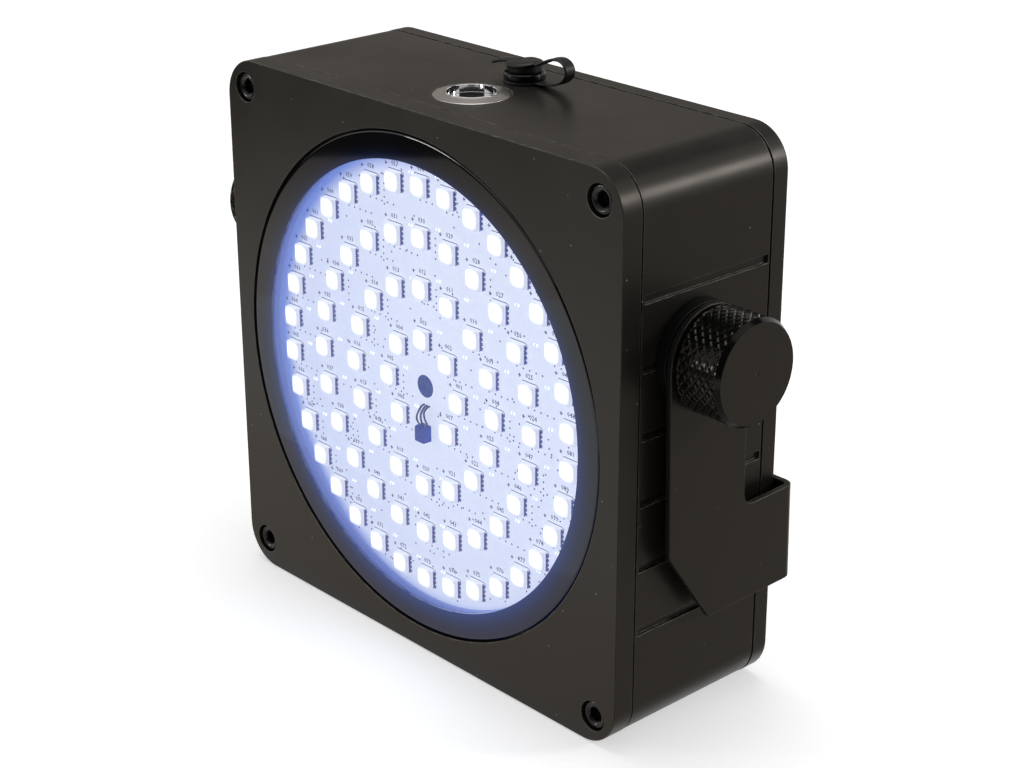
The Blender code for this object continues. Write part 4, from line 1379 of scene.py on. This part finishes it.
    def gel(self, co: np.ndarray, middles: np.ndarray) -> np.ndarray:
        """Glow of the packages, from the point (x, y) in its own package.

        On the face it falls with the rounded-square distance (|x|^3 + |y|^3)^(1/3) from a point
        a little to the upper left; the upper side is lit, the others too but for their feet, which
        get painted shade.

        Args:
            co: Points by three.
            middles: The packages' middles.

        Returns:
            The glow of each point.
        """
        apart = self.from_axis(co)[:, None] - middles[None]
        nearest = np.abs(apart).max(axis=-1).argmin(axis=1)
        across, up = np.take_along_axis(apart, nearest[:, None, None], axis=1)[:, 0].T
        level = self.board_near - (co[:, 1] - FRONT_Y)
        out = (np.abs(across + 0.0002) ** 3 + np.abs(up - 0.0002) ** 3) ** (1 / 3)
        face = np.interp(out, [0.0016, 0.0021, 0.0027], [1.0, 0.66, 0.38])
        # The sides' feet get painted shade.
        wall = np.where(level > 0.0006, 0.42, 0.0)
        side = np.where(up > 0.0024, 0.47, wall)
        return np.where(level > self.led_height - 0.00015, face, side)

    def boxes(self, name: str, solids: list[np.ndarray], box: np.ndarray,
              places: np.ndarray) -> bpy.types.Object:
        """One mesh with a group of small boxes at every board place.

        Args:
            name: Name of the piece.
            solids: Points of each box of the group, in the board's axes.
            box: Quads of one box.
            places: Board places.

        Returns:
            The new object.
        """
        template = Facing.FRONT.place(np.concatenate(solids), np.zeros(3))
        faces = np.concatenate([box + 8 * i for i in range(len(solids))])
        return array_object(name, template, faces, self.spots(places, self.board_near))

    def leads(self, places: np.ndarray) -> None:
        """Four leads on each side of every package, bent flat onto the board.

        Args:
            places: The packages' places.
        """
        unit, box = unit_box(-0.5, 0.5)
        rows = (np.arange(4) - 1.5) * self.lead_pitch
        sides = [(sign, row) for sign in (-1, 1) for row in rows]
        feet = [unit * (0.0005, 0.0007, 0.00022) + (s * 0.00272, z, 0.00012) for s, z in sides]
        stems = [unit * (0.00014, 0.0007, 0.0006) + (s * 0.00253, z, 0.00034) for s, z in sides]
        item = self.boxes("package_leads", feet + stems, box, places + self.led_shift)
        self.dress(item, self.finishes.lead, "lamp", "white_board")

    def marks(self, places: np.ndarray) -> None:
        """Printed marks of each package: a corner line, a plus, its number, and small round vias.

        Args:
            places: The packages' places.
        """
        ribbons = [self.ribbon(np.array(line) * MM, width) for line, width in self.mark_lines]
        points = np.concatenate([p for p, _ in ribbons])
        starts = np.cumsum([0] + [len(p) for p, _ in ribbons[:-1]])
        faces = np.concatenate([f + s for (_, f), s in zip(ribbons, starts)])
        lifted = np.c_[points, np.full(len(points), self.print_lift)]
        template = Facing.FRONT.place(lifted, np.zeros(3))
        marks = array_object("package_marks", template, faces, self.spots(places, self.board_near))
        self.dress(marks, self.finishes.ink, "lamp", "white_board")
        self.numbers(places)
        self.vias(places)

    def ribbon(self, line: np.ndarray, width: float) -> tuple[np.ndarray, np.ndarray]:
        """Flat ribbon along a line: each point moved half the width to either side.

        Args:
            line: Points by two.
            width: The ribbon's width.

        Returns:
            Its points by two and its quads.
        """
        tangent = np.gradient(line, axis=0)
        tangent /= np.linalg.norm(tangent, axis=1, keepdims=True)
        side = np.stack((-tangent[:, 1], tangent[:, 0]), axis=-1) * width / 2
        points = np.concatenate((line + side, line - side))
        n = len(line)
        i = np.arange(n - 1)
        return points, np.stack((i + 1, i, i + n, i + n + 1), axis=-1)

    def numbers(self, places: np.ndarray) -> None:
        """Plain running numbers printed by the packages.

        Args:
            places: The packages' places.
        """
        points, faces = [], []
        start = 0
        for i, place in enumerate(places, start=1):
            mesh = self.number_mesh(f"{i:03d}")
            across, up = place + self.number_shift
            shift = (across, up, self.print_lift)
            points.append(vectors(mesh.vertices, "co") + shift)
            corners = np.empty(len(mesh.loops), np.int32)
            mesh.loops.foreach_get("vertex_index", corners)
            firsts = np.empty(len(mesh.polygons), np.int32)
            mesh.polygons.foreach_get("loop_start", firsts)
            faces += [face.tolist() for face in np.split(corners + start, firsts[1:])]
            start += len(mesh.vertices)
            bpy.data.meshes.remove(mesh)
        placed = Facing.FRONT.place(np.concatenate(points), at(0, self.board_near, HALF))
        item = mesh_object("package_numbers", placed, faces)
        self.dress(item, self.finishes.ink, "lamp", "white_board")

    def number_mesh(self, text: str) -> bpy.types.Mesh:
        """Flat mesh of a number, centred on its middle.

        Args:
            text: The number.

        Returns:
            The mesh, which the caller removes.
        """
        curve = bpy.data.curves.new("number", "FONT")
        curve.body = text
        curve.size = self.number_size
        curve.offset = 0.00002
        curve.resolution_u = 1
        curve.align_x, curve.align_y = "CENTER", "CENTER"
        holder = bpy.data.objects.new("number", curve)
        bpy.context.scene.collection.objects.link(holder)
        evaluated = holder.evaluated_get(bpy.context.evaluated_depsgraph_get())
        mesh = bpy.data.meshes.new_from_object(evaluated)
        bpy.data.objects.remove(holder)
        return mesh

    def clear_of(self, spots: np.ndarray, places: np.ndarray, gap: float) -> np.ndarray:
        """Board places on the lit disc, off its hole and sensor, and a gap away from packages.

        Args:
            spots: The board places to choose from.
            places: The packages' places.
            gap: Least distance from a package's middle, across or up.

        Returns:
            The places that are clear.
        """
        reach, (least, most) = np.hypot(*spots.T), self.free_ring
        apart = np.abs(spots[:, None] - places[None] - self.led_shift).max(axis=-1).min(axis=1)
        height, half_width, half_height = self.sensor_room
        aside = np.abs(spots[:, 0] - self.sensor_place[0]) < half_width
        sensor = aside & (np.abs(spots[:, 1] - height) < half_height)
        return spots[(apart > gap) & (reach < most) & (reach > least) & ~sensor]

    def vias(self, places: np.ndarray) -> None:
        """Small plated holes, some strewn and some in rows from a share of the packages.

        Args:
            places: The packages' places.
        """
        generator = np.random.default_rng(self.via_seed)
        found = [generator.uniform(-0.056, 0.056, (self.strewn_vias, 2))]
        for share, shift, step, count in self.via_rows:
            starts = places[generator.random(len(places)) < share] + shift
            steps = np.arange(count)[None, :, None] * np.array(step)
            found.append((starts[:, None] + steps).reshape(-1, 2))
        chosen = self.clear_of(np.concatenate(found), places, self.free_gap[0])
        angles = np.arange(8) * math.pi / 4
        disc = np.c_[self.via_radius * np.cos(angles), self.via_radius * np.sin(angles),
                     np.full(8, self.print_lift)]
        template = Facing.FRONT.place(disc, np.zeros(3))
        spots = self.spots(chosen, self.board_near)
        item = array_object("board_vias", template, np.arange(8)[None], spots)
        self.store(item, lambda co: np.ones(len(co)))
        self.dress(item, self.finishes.ink, "lamp", "white_board")

    def chips(self, places: np.ndarray) -> None:
        """A small part beside most packages, up and to the right, whose ends glow: a painted glint.

        Args:
            places: The packages' places.
        """
        spots = self.clear_of(places + self.chip_shift, places, self.free_gap[1])
        unit, box = unit_box(0.0, 1.0)
        end = unit * (0.00034, 0.00056, 0.00036)
        solids = [unit * (0.0005, 0.0005, 0.0003), end + (-0.0004, 0.0, 0.0),
                  end + (0.0004, 0.0, 0.0)]
        item = self.boxes("board_chips", solids, box, spots)
        # The ends glow: painted glint.
        self.store(item, lambda co: np.tile(np.repeat((0.0, 1.0, 1.0), 8), len(spots)))
        self.dress(item, self.finishes.chip, "lamp", "white_board")

    def sensor(self) -> None:
        """Small moulded sensor, taller than wide, on three legs that bulge before their solder."""
        centre = at(self.sensor_place[0], 0.0045, HALF + self.sensor_place[1])
        angles = spokes(1.0, 0.15, 2, 12)
        rows = [(1.0, 0.0), (1.0, 0.0019), (0.97, 0.0023), (0.9, 0.0026)]
        radii = [rounded_square(h, 0.15, angles) for h, _ in rows]
        grid = loft(radii, [z for _, z in rows], angles) * (0.00168, 0.0021, 1.0)
        body = loft_object("sensor_body", grid, Facing.FRONT, centre)
        soften(body, 0.00006)
        # Painted LED light on the sensor, lighter to the right.
        sides, levels = [-0.0017, 0.0015, 0.00168], [0.45, 0.6, 1.0]
        self.store(body, lambda co: np.interp(co[:, 0] - centre[0], sides, levels))
        self.dress(body, self.finishes.sensor, "lamp", "sensor", "ir_receiver")
        turn = np.arange(8) * math.pi / 4
        section = np.stack((np.cos(turn), np.sin(turn)), axis=-1) * self.leg_radius
        base = HALF - 0.0100
        for i, (bulge, top) in enumerate(self.leg_bends):
            x = centre[0] + (i - 1) * self.leg_pitch
            bends = ((0.0, 0.0033, 0.0), (bulge, 0.0029, 0.0012), (0.4 * bulge, 0.0026, 0.0026),
                     (top, 0.0028, 0.0040), (top, 0.0038, 0.0050), (top, 0.0047, 0.0051))
            route = flowing([(x + a, FRONT_Y + depth, base + up) for a, depth, up in bends], 5)
            grid = swept(route, np.array((1.0, 0.0, 0.0)), section)
            leg = loft_object(f"sensor_leg_{i + 1}", grid, Facing.UP, np.zeros(3))
            self.dress(leg, self.finishes.leg, "lamp", "sensor")


@dataclass
class TopFittings(Assembly):
    """Push switch, charging socket, its dust cap and the cap's strap.

    Profiles are (radius, height over the body's top), routes (across, height over it).
    """

    flange: Profile = ((0.0064, 0.0006), (0.0066, 0.0007), (0.0090, 0.0002), (0.0093, 0.0001),
                       (0.0093, -0.0002), (0.00795, -0.0002), (0.00795, -0.0220), (0.0064, -0.0220))
    well: Profile = ((0.0059, 0.0008), (0.0060, 0.0009), (0.0063, 0.0009), (0.0064, 0.0008),
                     (0.0064, -0.0220), (0.0050, -0.0220), (0.0050, -0.0056), (0.0059, -0.0056))
    actuator: Profile = ((0, -0.0010), (0.0056, -0.0010), (0.0057, -0.0011), (0.0057, -0.0049),
                         (0.0030, -0.0049), (0.0030, -0.0090), (0, -0.0090))
    collar: Profile = ((0, -0.0010), (0.0008, -0.0010), (0.0010, -0.0013), (0.0010, -0.0095),
                       (0.0034, -0.0095), (0.0034, 0.0027), (0.0046, 0.0027), (0.0049, 0.0026),
                       (0.0051, 0.0023), (0.0051, 0.0009), (0.0045, 0.0009), (0.0045, -0.0120),
                       (0, -0.0120))
    cap: Profile = ((0, 0.0052), (0.0020, 0.0053), (0.0036, 0.0052), (0.0044, 0.0049),
                    (0.0047, 0.0046), (0.0045, 0.0042), (0.0043, 0.0041), (0.0043, 0.0030),
                    (0.0031, 0.0030), (0.0031, -0.0003), (0, -0.0003))
    cap_radius: float = 0.0047
    cap_tilt: float = 0.00038
    cap_wave: float = 0.00016
    tab_route: Profile = ((-0.0020, 0.0047), (-0.0045, 0.0046), (-0.0074, 0.0041),
                          (-0.0100, 0.0033))
    tab_thickness: float = 0.0009
    strap_route_mm: Profile = ((5.1, 5.1), (7.5, 6.2), (10.5, 7.4), (13.2, 7.6), (15.1, 6.5),
                               (15.5, 4.6), (14.1, 2.8), (11.5, 1.6), (8.5, 1.0), (5.2, 0.65))
    strap_width: float = 0.0033
    strap_thickness: float = 0.00063
    strap_ends: tuple[float, float] = (0.0012, 0.0050)  # where it follows the lamp and the cap
    strap_ring: Profile = ((0.00515, 0.0008), (0.00515, 0.0001), (0.0046, 0.0001), (0.0046, 0.0008))

    def build(self) -> None:
        """Build and dress the switch, the socket, the cap and its strap."""
        self.power_switch()
        self.charge_socket()
        self.dust_cap()
        self.tether()
        self.keep(self.finishes.zinc, "switch_nut", "socket_nut")

    def power_switch(self) -> None:
        """Switch: a low satin cone round a polished well in which the actuator is sunk."""
        place = at(0, SWITCH_DEPTH, TOP)
        flange = lathe("switch_flange", self.flange, Facing.UP, place)
        soften(flange, 0.00005)
        self.dress(flange, self.finishes.satin, "lamp", "chrome_switch", "power_switch_housing")
        for name, profile, body, node in (
                ("switch_well", self.well, "lamp", "power_switch_housing"),
                ("switch_actuator", self.actuator, "power_button", "power_button")):
            item = lathe(name, profile, Facing.UP, place, 128)
            item.data.set_sharp_from_angle(angle=math.radians(20))
            self.dress(item, self.finishes.chrome, body, "chrome_switch", node)

    def charge_socket(self) -> None:
        """Socket: a plain collar on the top, a bore and its pin."""
        item = lathe("socket_collar", self.collar, Facing.UP, at(0, SOCKET_DEPTH, TOP))
        soften(item, 0.0001)
        self.dress(item, self.finishes.gloss, "lamp", "gloss_black", "charge_socket")

    def dust_cap(self) -> None:
        """Rubber cap: a wavy disc that tilts up to the right, its plug and a pull tab.

        The disc is lifted by r / R (t cos a + w cos(3 a + 0.6)), with R its radius, t its tilt
        and w its wave.
        """
        grid = turned(self.cap, 64)
        edge = np.hypot(grid[..., 0], grid[..., 1]) / self.cap_radius
        lift = (grid[..., 2] > 0.0035) * edge
        angle = np.arctan2(grid[..., 1], grid[..., 0])
        wave = self.cap_wave * np.cos(3 * angle + 0.6)
        grid[..., 2] += lift * (self.cap_tilt * np.cos(angle) + wave)
        cap = loft_object("rubber_cap", grid, Facing.UP, at(0, SOCKET_DEPTH, TOP), caps=False)
        soften(cap, 0.00012)
        self.dress(cap, self.finishes.rubber, "dust_cap", "black_rubber", "dust_cap")
        route = flowing([(x, 0, z) for x, z in self.tab_route], 6)
        tab = self.strap("cap_tab", route, self.tab_thickness)
        self.dress(tab, self.finishes.rubber, "dust_cap", "black_rubber")

    def strap(self, name: str, route: np.ndarray, thickness: float) -> bpy.types.Object:
        """Flat strap with rounded edges along a route in the plane through the socket's axis.

        Args:
            name: Name of the piece.
            route: Points by three from the socket's place.
            thickness: Thickness of the strap.

        Returns:
            The new object.
        """
        turn = np.linspace(-math.pi / 2, math.pi / 2, 5)
        r = thickness / 2
        right = np.stack((r * np.sin(turn), self.strap_width / 2 - r + r * np.cos(turn)), axis=-1)
        section = np.concatenate((right, -right))
        grid = swept(route, np.array((0.0, 1.0, 0.0)), section)
        return loft_object(name, grid, Facing.UP, at(0, SOCKET_DEPTH, TOP))

    def tether(self) -> None:
        """Strap that loops from the cap to a ring round the socket."""
        route = flowing([(x * MM, 0, z * MM) for x, z in self.strap_route_mm], 6)
        strap = self.strap("cap_strap", route, self.strap_thickness)
        soften(strap, 0.0001)
        strap.data.materials.append(self.finishes.rubber.material())
        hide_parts("cap_tether")
        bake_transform(strap)
        ring = lathe("strap_ring", self.strap_ring, Facing.UP, at(0, SOCKET_DEPTH, TOP), 64)
        soften(ring, 0.0001)
        self.dress(ring, self.finishes.rubber, "lamp", "black_rubber")


@dataclass
class Hanger(Assembly):
    """Folded sheet bracket with its knobs, studs, spacers and inserts."""

    knob_radius: float = 0.0126
    knob_near: float = 0.0751
    knob_far: float = 0.0885
    chamfer: tuple[float, float] = (0.0008, 0.0012)  # inward and along the axis
    starts: int = 28
    rows: int = 10
    groove: float = 0.00035
    land: float = 2.3  # how steeply the grooves' sides rise to the land between them
    fade: float = 0.0005
    stud_hole: tuple[float, float] = (0.0033, 0.0054)  # radius and depth
    tip: float = 1e-6
    spacer_span: tuple[float, float] = (0.0701, 0.0730)
    spacer_bore: float = 0.0040

    def build(self) -> None:
        """Build and dress the bracket and both knobs with what they turn on."""
        sheet = merged_copy(self.nodes["bracket"], "sheet_bracket")
        soften(sheet, 0.00022, 3, 40.0)
        self.dress(sheet, self.finishes.sheet, "bracket", "black_sheet", "bracket")
        for side, facing in (("left", Facing.LEFT), ("right", Facing.RIGHT)):
            self.knob(side, facing)
            self.spacer(side, facing)
        self.keep(self.finishes.zinc, "knob_stud_left", "knob_stud_right", "pivot_insert_left",
                  "pivot_insert_right")

    def knurled(self, angles: np.ndarray, levels: np.ndarray) -> np.ndarray:
        """Radii of the knurled length.

        Two crossing sets of V grooves leave pyramids. With a = N t / 2 pi + z / p and
        b = N t / 2 pi - z / p, the radius is R - d (1 - min(1, k min(tri a, tri b))), tri being
        a wave from 0 in a groove to 1 between two, and d falls to 0 at both ends.

        Args:
            angles: Polar angles t.
            levels: Heights z.

        Returns:
            Array of levels by angles.
        """
        low, high = levels[0], levels[-1]
        pitch = 2 * (high - low) / self.rows
        turn, level = np.meshgrid(angles, levels)
        around, along = self.starts * turn / (2 * math.pi), (level - low) / pitch
        crossing = (around + along + 0.5, around - along + 0.5)
        waves = [1 - 2 * np.abs((w % 1.0) - 0.5) for w in crossing]
        land = np.minimum(np.minimum(*waves) * self.land, 1.0)
        fade = np.clip(np.minimum(level - low, high - level) / self.fade, 0.0, 1.0)
        return self.knob_radius - self.groove * (1 - land) * fade

    def knob(self, side: str, facing: Facing) -> None:
        """Knurled thumb knob: from its stud's hole over the knurled length to its turned face.

        The face has a shallow mark in the middle, as turning leaves.

        Args:
            side: left or right.
            facing: Where the knob's face points.
        """
        angles = full_turn(self.starts * 10)
        inset, lead = self.chamfer
        length = self.knob_far - self.knob_near
        levels = np.linspace(lead, length - lead, self.rows * 5 + 1)
        rim = self.knob_radius - inset
        stud, deep = self.stud_hole
        radii = [self.tip, stud, stud, rim, *self.knurled(angles, levels), rim, rim - 0.0006,
                 rim - 0.0008, 0.0009, 0.0006, 0.0003, self.tip]
        heights = [deep, deep, 0.0, 0.0, *levels, length, length, length, length, length,
                   length - 0.0001, length - 0.00013]
        middle = at(0, PIVOT_DEPTH, PIVOT_HEIGHT)
        foot = at(math.copysign(self.knob_near, facing.value[2][0]), PIVOT_DEPTH, PIVOT_HEIGHT)
        item = loft_object(f"thumb_knob_{side}", loft(radii, heights, angles), facing, foot)
        item.data.set_sharp_from_angle(angle=math.radians(24))
        self.dress(item, self.finishes.knob, f"knob_{side}", "black_knob", f"knob_{side}")
        # The knurled length gets the darker finish: painted shade.
        self.refinish(item, self.finishes.knurl,
                      lambda co: np.hypot(*(co[:, 1:] - middle[1:]).T) > rim - 0.0001)

    def spacer(self, side: str, facing: Facing) -> None:
        """Round spacer between the body and the bracket's arm.

        Args:
            side: left or right.
            facing: Where the spacer points.
        """
        r, bore = self.knob_radius, self.spacer_bore
        near, far = self.spacer_span
        profile = [(r, far), (r, near), (bore, near), (bore, far)]
        item = lathe(f"arm_spacer_{side}", profile, facing, at(0, PIVOT_DEPTH, PIVOT_HEIGHT))
        soften(item, 0.0003, 3)
        self.dress(item, self.finishes.washer, "lamp", "black_rubber", f"pivot_spacer_{side}")


@dataclass
class RearPanel(Assembly):
    """Display, its window and the four menu keys."""

    key_face: float = 0.0535
    key: Profile = ((0, 0.0), (0.0010, -0.00003), (0.0020, -0.00012), (0.0027, -0.0003),
                    (0.0031, -0.0006), (0.0032, -0.0010), (0.0032, -0.0029), (0.0042, -0.0029),
                    (0.0042, -0.0037), (0.0015, -0.0037), (0.0015, -0.0059), (0, -0.0059))

    def build(self) -> None:
        """Dress the display and build the keys."""
        self.keep(self.finishes.display, "display_module")
        self.keep(self.finishes.window, "display_window")
        for i, place in enumerate(key_places(self.key_face), start=1):
            item = lathe(f"menu_key_{i}", self.key, Facing.BACK, place, 48)
            soften(item, 0.00008)
            node = f"menu_button_{i}"
            self.dress(item, self.finishes.rubber, node, "black_rubber", node)


@dataclass
class Interior(Assembly):
    """Cells, their holder and the boards, which show only when the lamp is opened."""

    def build(self) -> None:
        """Give each inner node its finish."""
        self.keep(self.finishes.wrap, *[f"battery_cell_{i}" for i in range(1, 7)])
        self.keep(self.finishes.holder, "cell_holder")
        self.keep(self.finishes.green, "driver_board", "wireless_module", "control_board")


# ---------------------------------------------------------------------------------------------
# Studio
# ---------------------------------------------------------------------------------------------


@dataclass(frozen=True)
class Lamp:
    """Soft square lamp aimed at the middle of the part.

    Attributes:
        name: Name of the lamp.
        place: Where it stands.
        size: Width of its face.
        power: Its power in watts.
    """

    name: str
    place: tuple[float, float, float]
    size: float
    power: float

    def build(self) -> None:
        """Put the lamp in the scene."""
        data = bpy.data.lights.new(self.name, "AREA")
        data.shape, data.size, data.energy = "SQUARE", self.size, self.power
        item = bpy.data.objects.new(self.name, data)
        aim = Vector((0, 0, HALF)) - Vector(self.place)
        item.rotation_euler = aim.to_track_quat("-Z", "Y").to_euler()
        item.location = self.place
        bpy.context.scene.collection.objects.link(item)


@dataclass(frozen=True)
class Card:
    """Grey card that only reflections see, as a studio has beside glossy black things.

    Attributes:
        name: Name of the card.
        place: Its middle.
        size: Its width and height.
        turn: Its rotation in degrees.
        levels: How bright its reflection is, of the white surround's 1, at its two ends: near and
            far for one that lies, top and foot for one that stands.
        warmth: Colour of its reflection.
    """

    name: str
    place: tuple[float, float, float]
    size: tuple[float, float]
    turn: tuple[float, float, float]
    levels: tuple[float, float]
    warmth: Colour = (1.0, 0.93, 0.85)

    def build(self) -> None:
        """Put the card in the scene; its level goes evenly from one end to the other."""
        outline = loft((HALF_DIAGONAL,), (0.0,), SQUARE)[0] * (self.size[0], self.size[1], 1.0)
        rotation = np.array(Euler([math.radians(v) for v in self.turn]).to_matrix())
        item = mesh_object(self.name, outline @ rotation.T + self.place, [[0, 1, 2, 3]])
        material = Finish(self.name, (0.0, 0.0, 0.0), 0.9, specular=0.0).material()
        graph = Graph(material.node_tree)
        shader = material.node_tree.nodes["Principled BSDF"]
        outward = rotation @ (0.0, -1.0, 0.0)
        middle = float(outward @ np.array(self.place))
        position = graph.add("TexCoord").outputs["Object"]
        along = graph.add("VectorMath", {0: position, 1: tuple(outward)},
                          operation="DOT_PRODUCT").outputs["Value"]
        reach = self.size[1] / 2
        level = graph.spread(along, middle - reach, middle + reach, *self.levels)
        light = graph.blend(level, rgba((0.0, 0.0, 0.0)), rgba(self.warmth))
        graph.join(light, shader.inputs["Emission Color"])
        shader.inputs["Emission Strength"].default_value = 1.0
        item.data.materials.append(material)
        for ray in ("camera", "diffuse", "shadow", "transmission"):
            setattr(item, "visible_" + ray, False)


@dataclass
class Studio:
    """Camera at the photograph's angle, pale floor, soft lamps and a white surround."""

    place: tuple[float, float, float] = (0.37815, -0.34234, 0.27640)
    yaw: float = 47.445
    pitch: float = 22.618
    roll: float = -0.113
    lens: float = 77.67
    floor_rings: tuple[float, ...] = (0.0, 0.2, 0.6, 2.0, 15.0)
    floor_drop: float = 0.0003
    lift: float = 0.5  # how much the floor is lifted to white where a camera or a mirror sees it
    surround: float = 0.3
    lamps: tuple[Lamp, ...] = (
        Lamp("top", (-0.15, 0.1, 1.35), 0.8, 8.0),
        Lamp("front", (-0.97, -1.04, 0.2), 0.22, 3.5),
        Lamp("rim", (1.06, 1.04, 0.6), 0.32, 6.5))
    cards: tuple[Card, ...] = (
        Card("card_behind", (-1.10, 0.86, 1.2), (1.7, 2.4), (90.0, 0.0, 52.0), (0.32, 0.32)),
        Card("card_high", (-0.07, 0.77, 0.98), (0.8, 0.5), (140.0, 0.0, 5.0), (0.03, 0.03)),
        Card("card_camera", (0.62, -0.58, 0.75), (3.0, 1.5), (90.0, 0.0, -133.0), (0.03, 0.03)),
        Card("card_front", (-0.95, -0.80, 1.2), (2.8, 1.6), (135.0, 0.0, -50.0), (0.03, 0.03)),
        Card("card_low_mid", (-0.244, -0.244, 0.004), (1.6, 0.17), (0.0, 0.0, -45.0), (1.2, 0.5)),
        Card("card_low_front", (-0.765, -0.692, 0.004), (3.0, 1.2), (0.0, 0.0, -45.0),
             (0.03, 0.03)),
        Card("card_low_right", (0.6407, 0.45, 0.004), (1.14, 1.3), (0.0, 0.0, 0.0), (0.5, 0.5)),
        Card("card_low_near", (-0.045, -0.0548, 0.001), (0.23, 0.05), (0.0, 0.0, 0.0), (0.8, 0.95)),
        Card("card_screw", (0.2, -0.9, 0.64), (0.45, 0.35), (60.0, 0.0, 9.0), (14.0, 14.0)))

    def build(self) -> None:
        """Set the whole stage."""
        self.camera()
        self.floor()
        self.world()
        for thing in (*self.lamps, *self.cards):
            thing.build()
        bpy.context.scene.view_settings.view_transform = "Standard"

    def camera(self) -> None:
        """Place the camera from its yaw, pitch and roll."""
        data = bpy.data.cameras.new("camera")
        data.lens, data.sensor_width = self.lens, 36.0
        data.clip_start, data.clip_end = 0.01, 100.0
        item = bpy.data.objects.new("camera", data)
        yaw, pitch, roll = (math.radians(v) for v in (self.yaw, self.pitch, self.roll))
        level = math.cos(pitch)
        back = Vector((math.sin(yaw) * level, -math.cos(yaw) * level, math.sin(pitch)))
        right = (-back).cross(Vector((0, 0, 1))).normalized()
        up = right.cross(-back)
        across = math.cos(roll) * right + math.sin(roll) * up
        upward = -math.sin(roll) * right + math.cos(roll) * up
        turn = Matrix((across, upward, back)).transposed()
        item.matrix_world = Matrix.Translation(self.place) @ turn.to_4x4()
        bpy.context.scene.collection.objects.link(item)
        bpy.context.scene.camera = item

    def white_light(self, graph: Graph) -> bpy.types.NodeSocket:
        """1 for rays from the camera, a mirror or glass, which see a white surround.

        Args:
            graph: The material's or the world's graph.

        Returns:
            The socket.
        """
        ray = graph.add("LightPath")
        seen = graph.maths("MAXIMUM", ray.outputs["Is Camera Ray"], ray.outputs["Is Glossy Ray"])
        return graph.maths("MAXIMUM", seen, ray.outputs["Is Transmission Ray"])

    def floor(self) -> None:
        """Pale floor that looks white to the camera and keeps the lamp's shadow."""
        grid = turned([(radius, 0.0) for radius in self.floor_rings], 64)
        faces = grid_quads(len(self.floor_rings), 64, False).tolist()
        item = mesh_object("floor", grid.reshape(-1, 3) + (0, 0, -self.floor_drop), faces)
        material = bpy.data.materials.new("pale floor")
        material.use_nodes = True
        graph = Graph(material.node_tree)
        shader = material.node_tree.nodes["Principled BSDF"]
        shader.inputs["Base Color"].default_value = (0.8, 0.8, 0.8, 1.0)
        shader.inputs["Roughness"].default_value = 0.9
        shader.inputs["Emission Color"].default_value = (1.0, 1.0, 1.0, 1.0)
        lift = graph.maths("MULTIPLY", self.white_light(graph), self.lift)
        graph.join(lift, shader.inputs["Emission Strength"])
        item.data.materials.append(material)

    def world(self) -> None:
        """Grey light from all round, white where the camera or a mirror sees it."""
        world = bpy.data.worlds.new("surround")
        world.use_nodes = True
        bpy.context.scene.world = world
        graph = Graph(world.node_tree)
        background = world.node_tree.nodes["Background"]
        background.inputs["Color"].default_value = (1.0, 1.0, 1.0, 1.0)
        level = graph.spread(self.white_light(graph), 0.0, 1.0, self.surround, 1.0)
        graph.join(level, background.inputs["Strength"])


def main() -> None:
    """Build every sub-assembly round the frame and set the stage."""
    logging.basicConfig(level=logging.INFO, format="%(name)s: %(message)s")
    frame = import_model()
    finishes = Finishes()
    Studio().build()
    for sort in (Housing, LightEngine, TopFittings, Hanger, RearPanel, Interior):
        LOG.info("building %s", sort.__name__)
        sort(frame["nodes"], finishes).build()


if __name__ == "__main__":
    main()
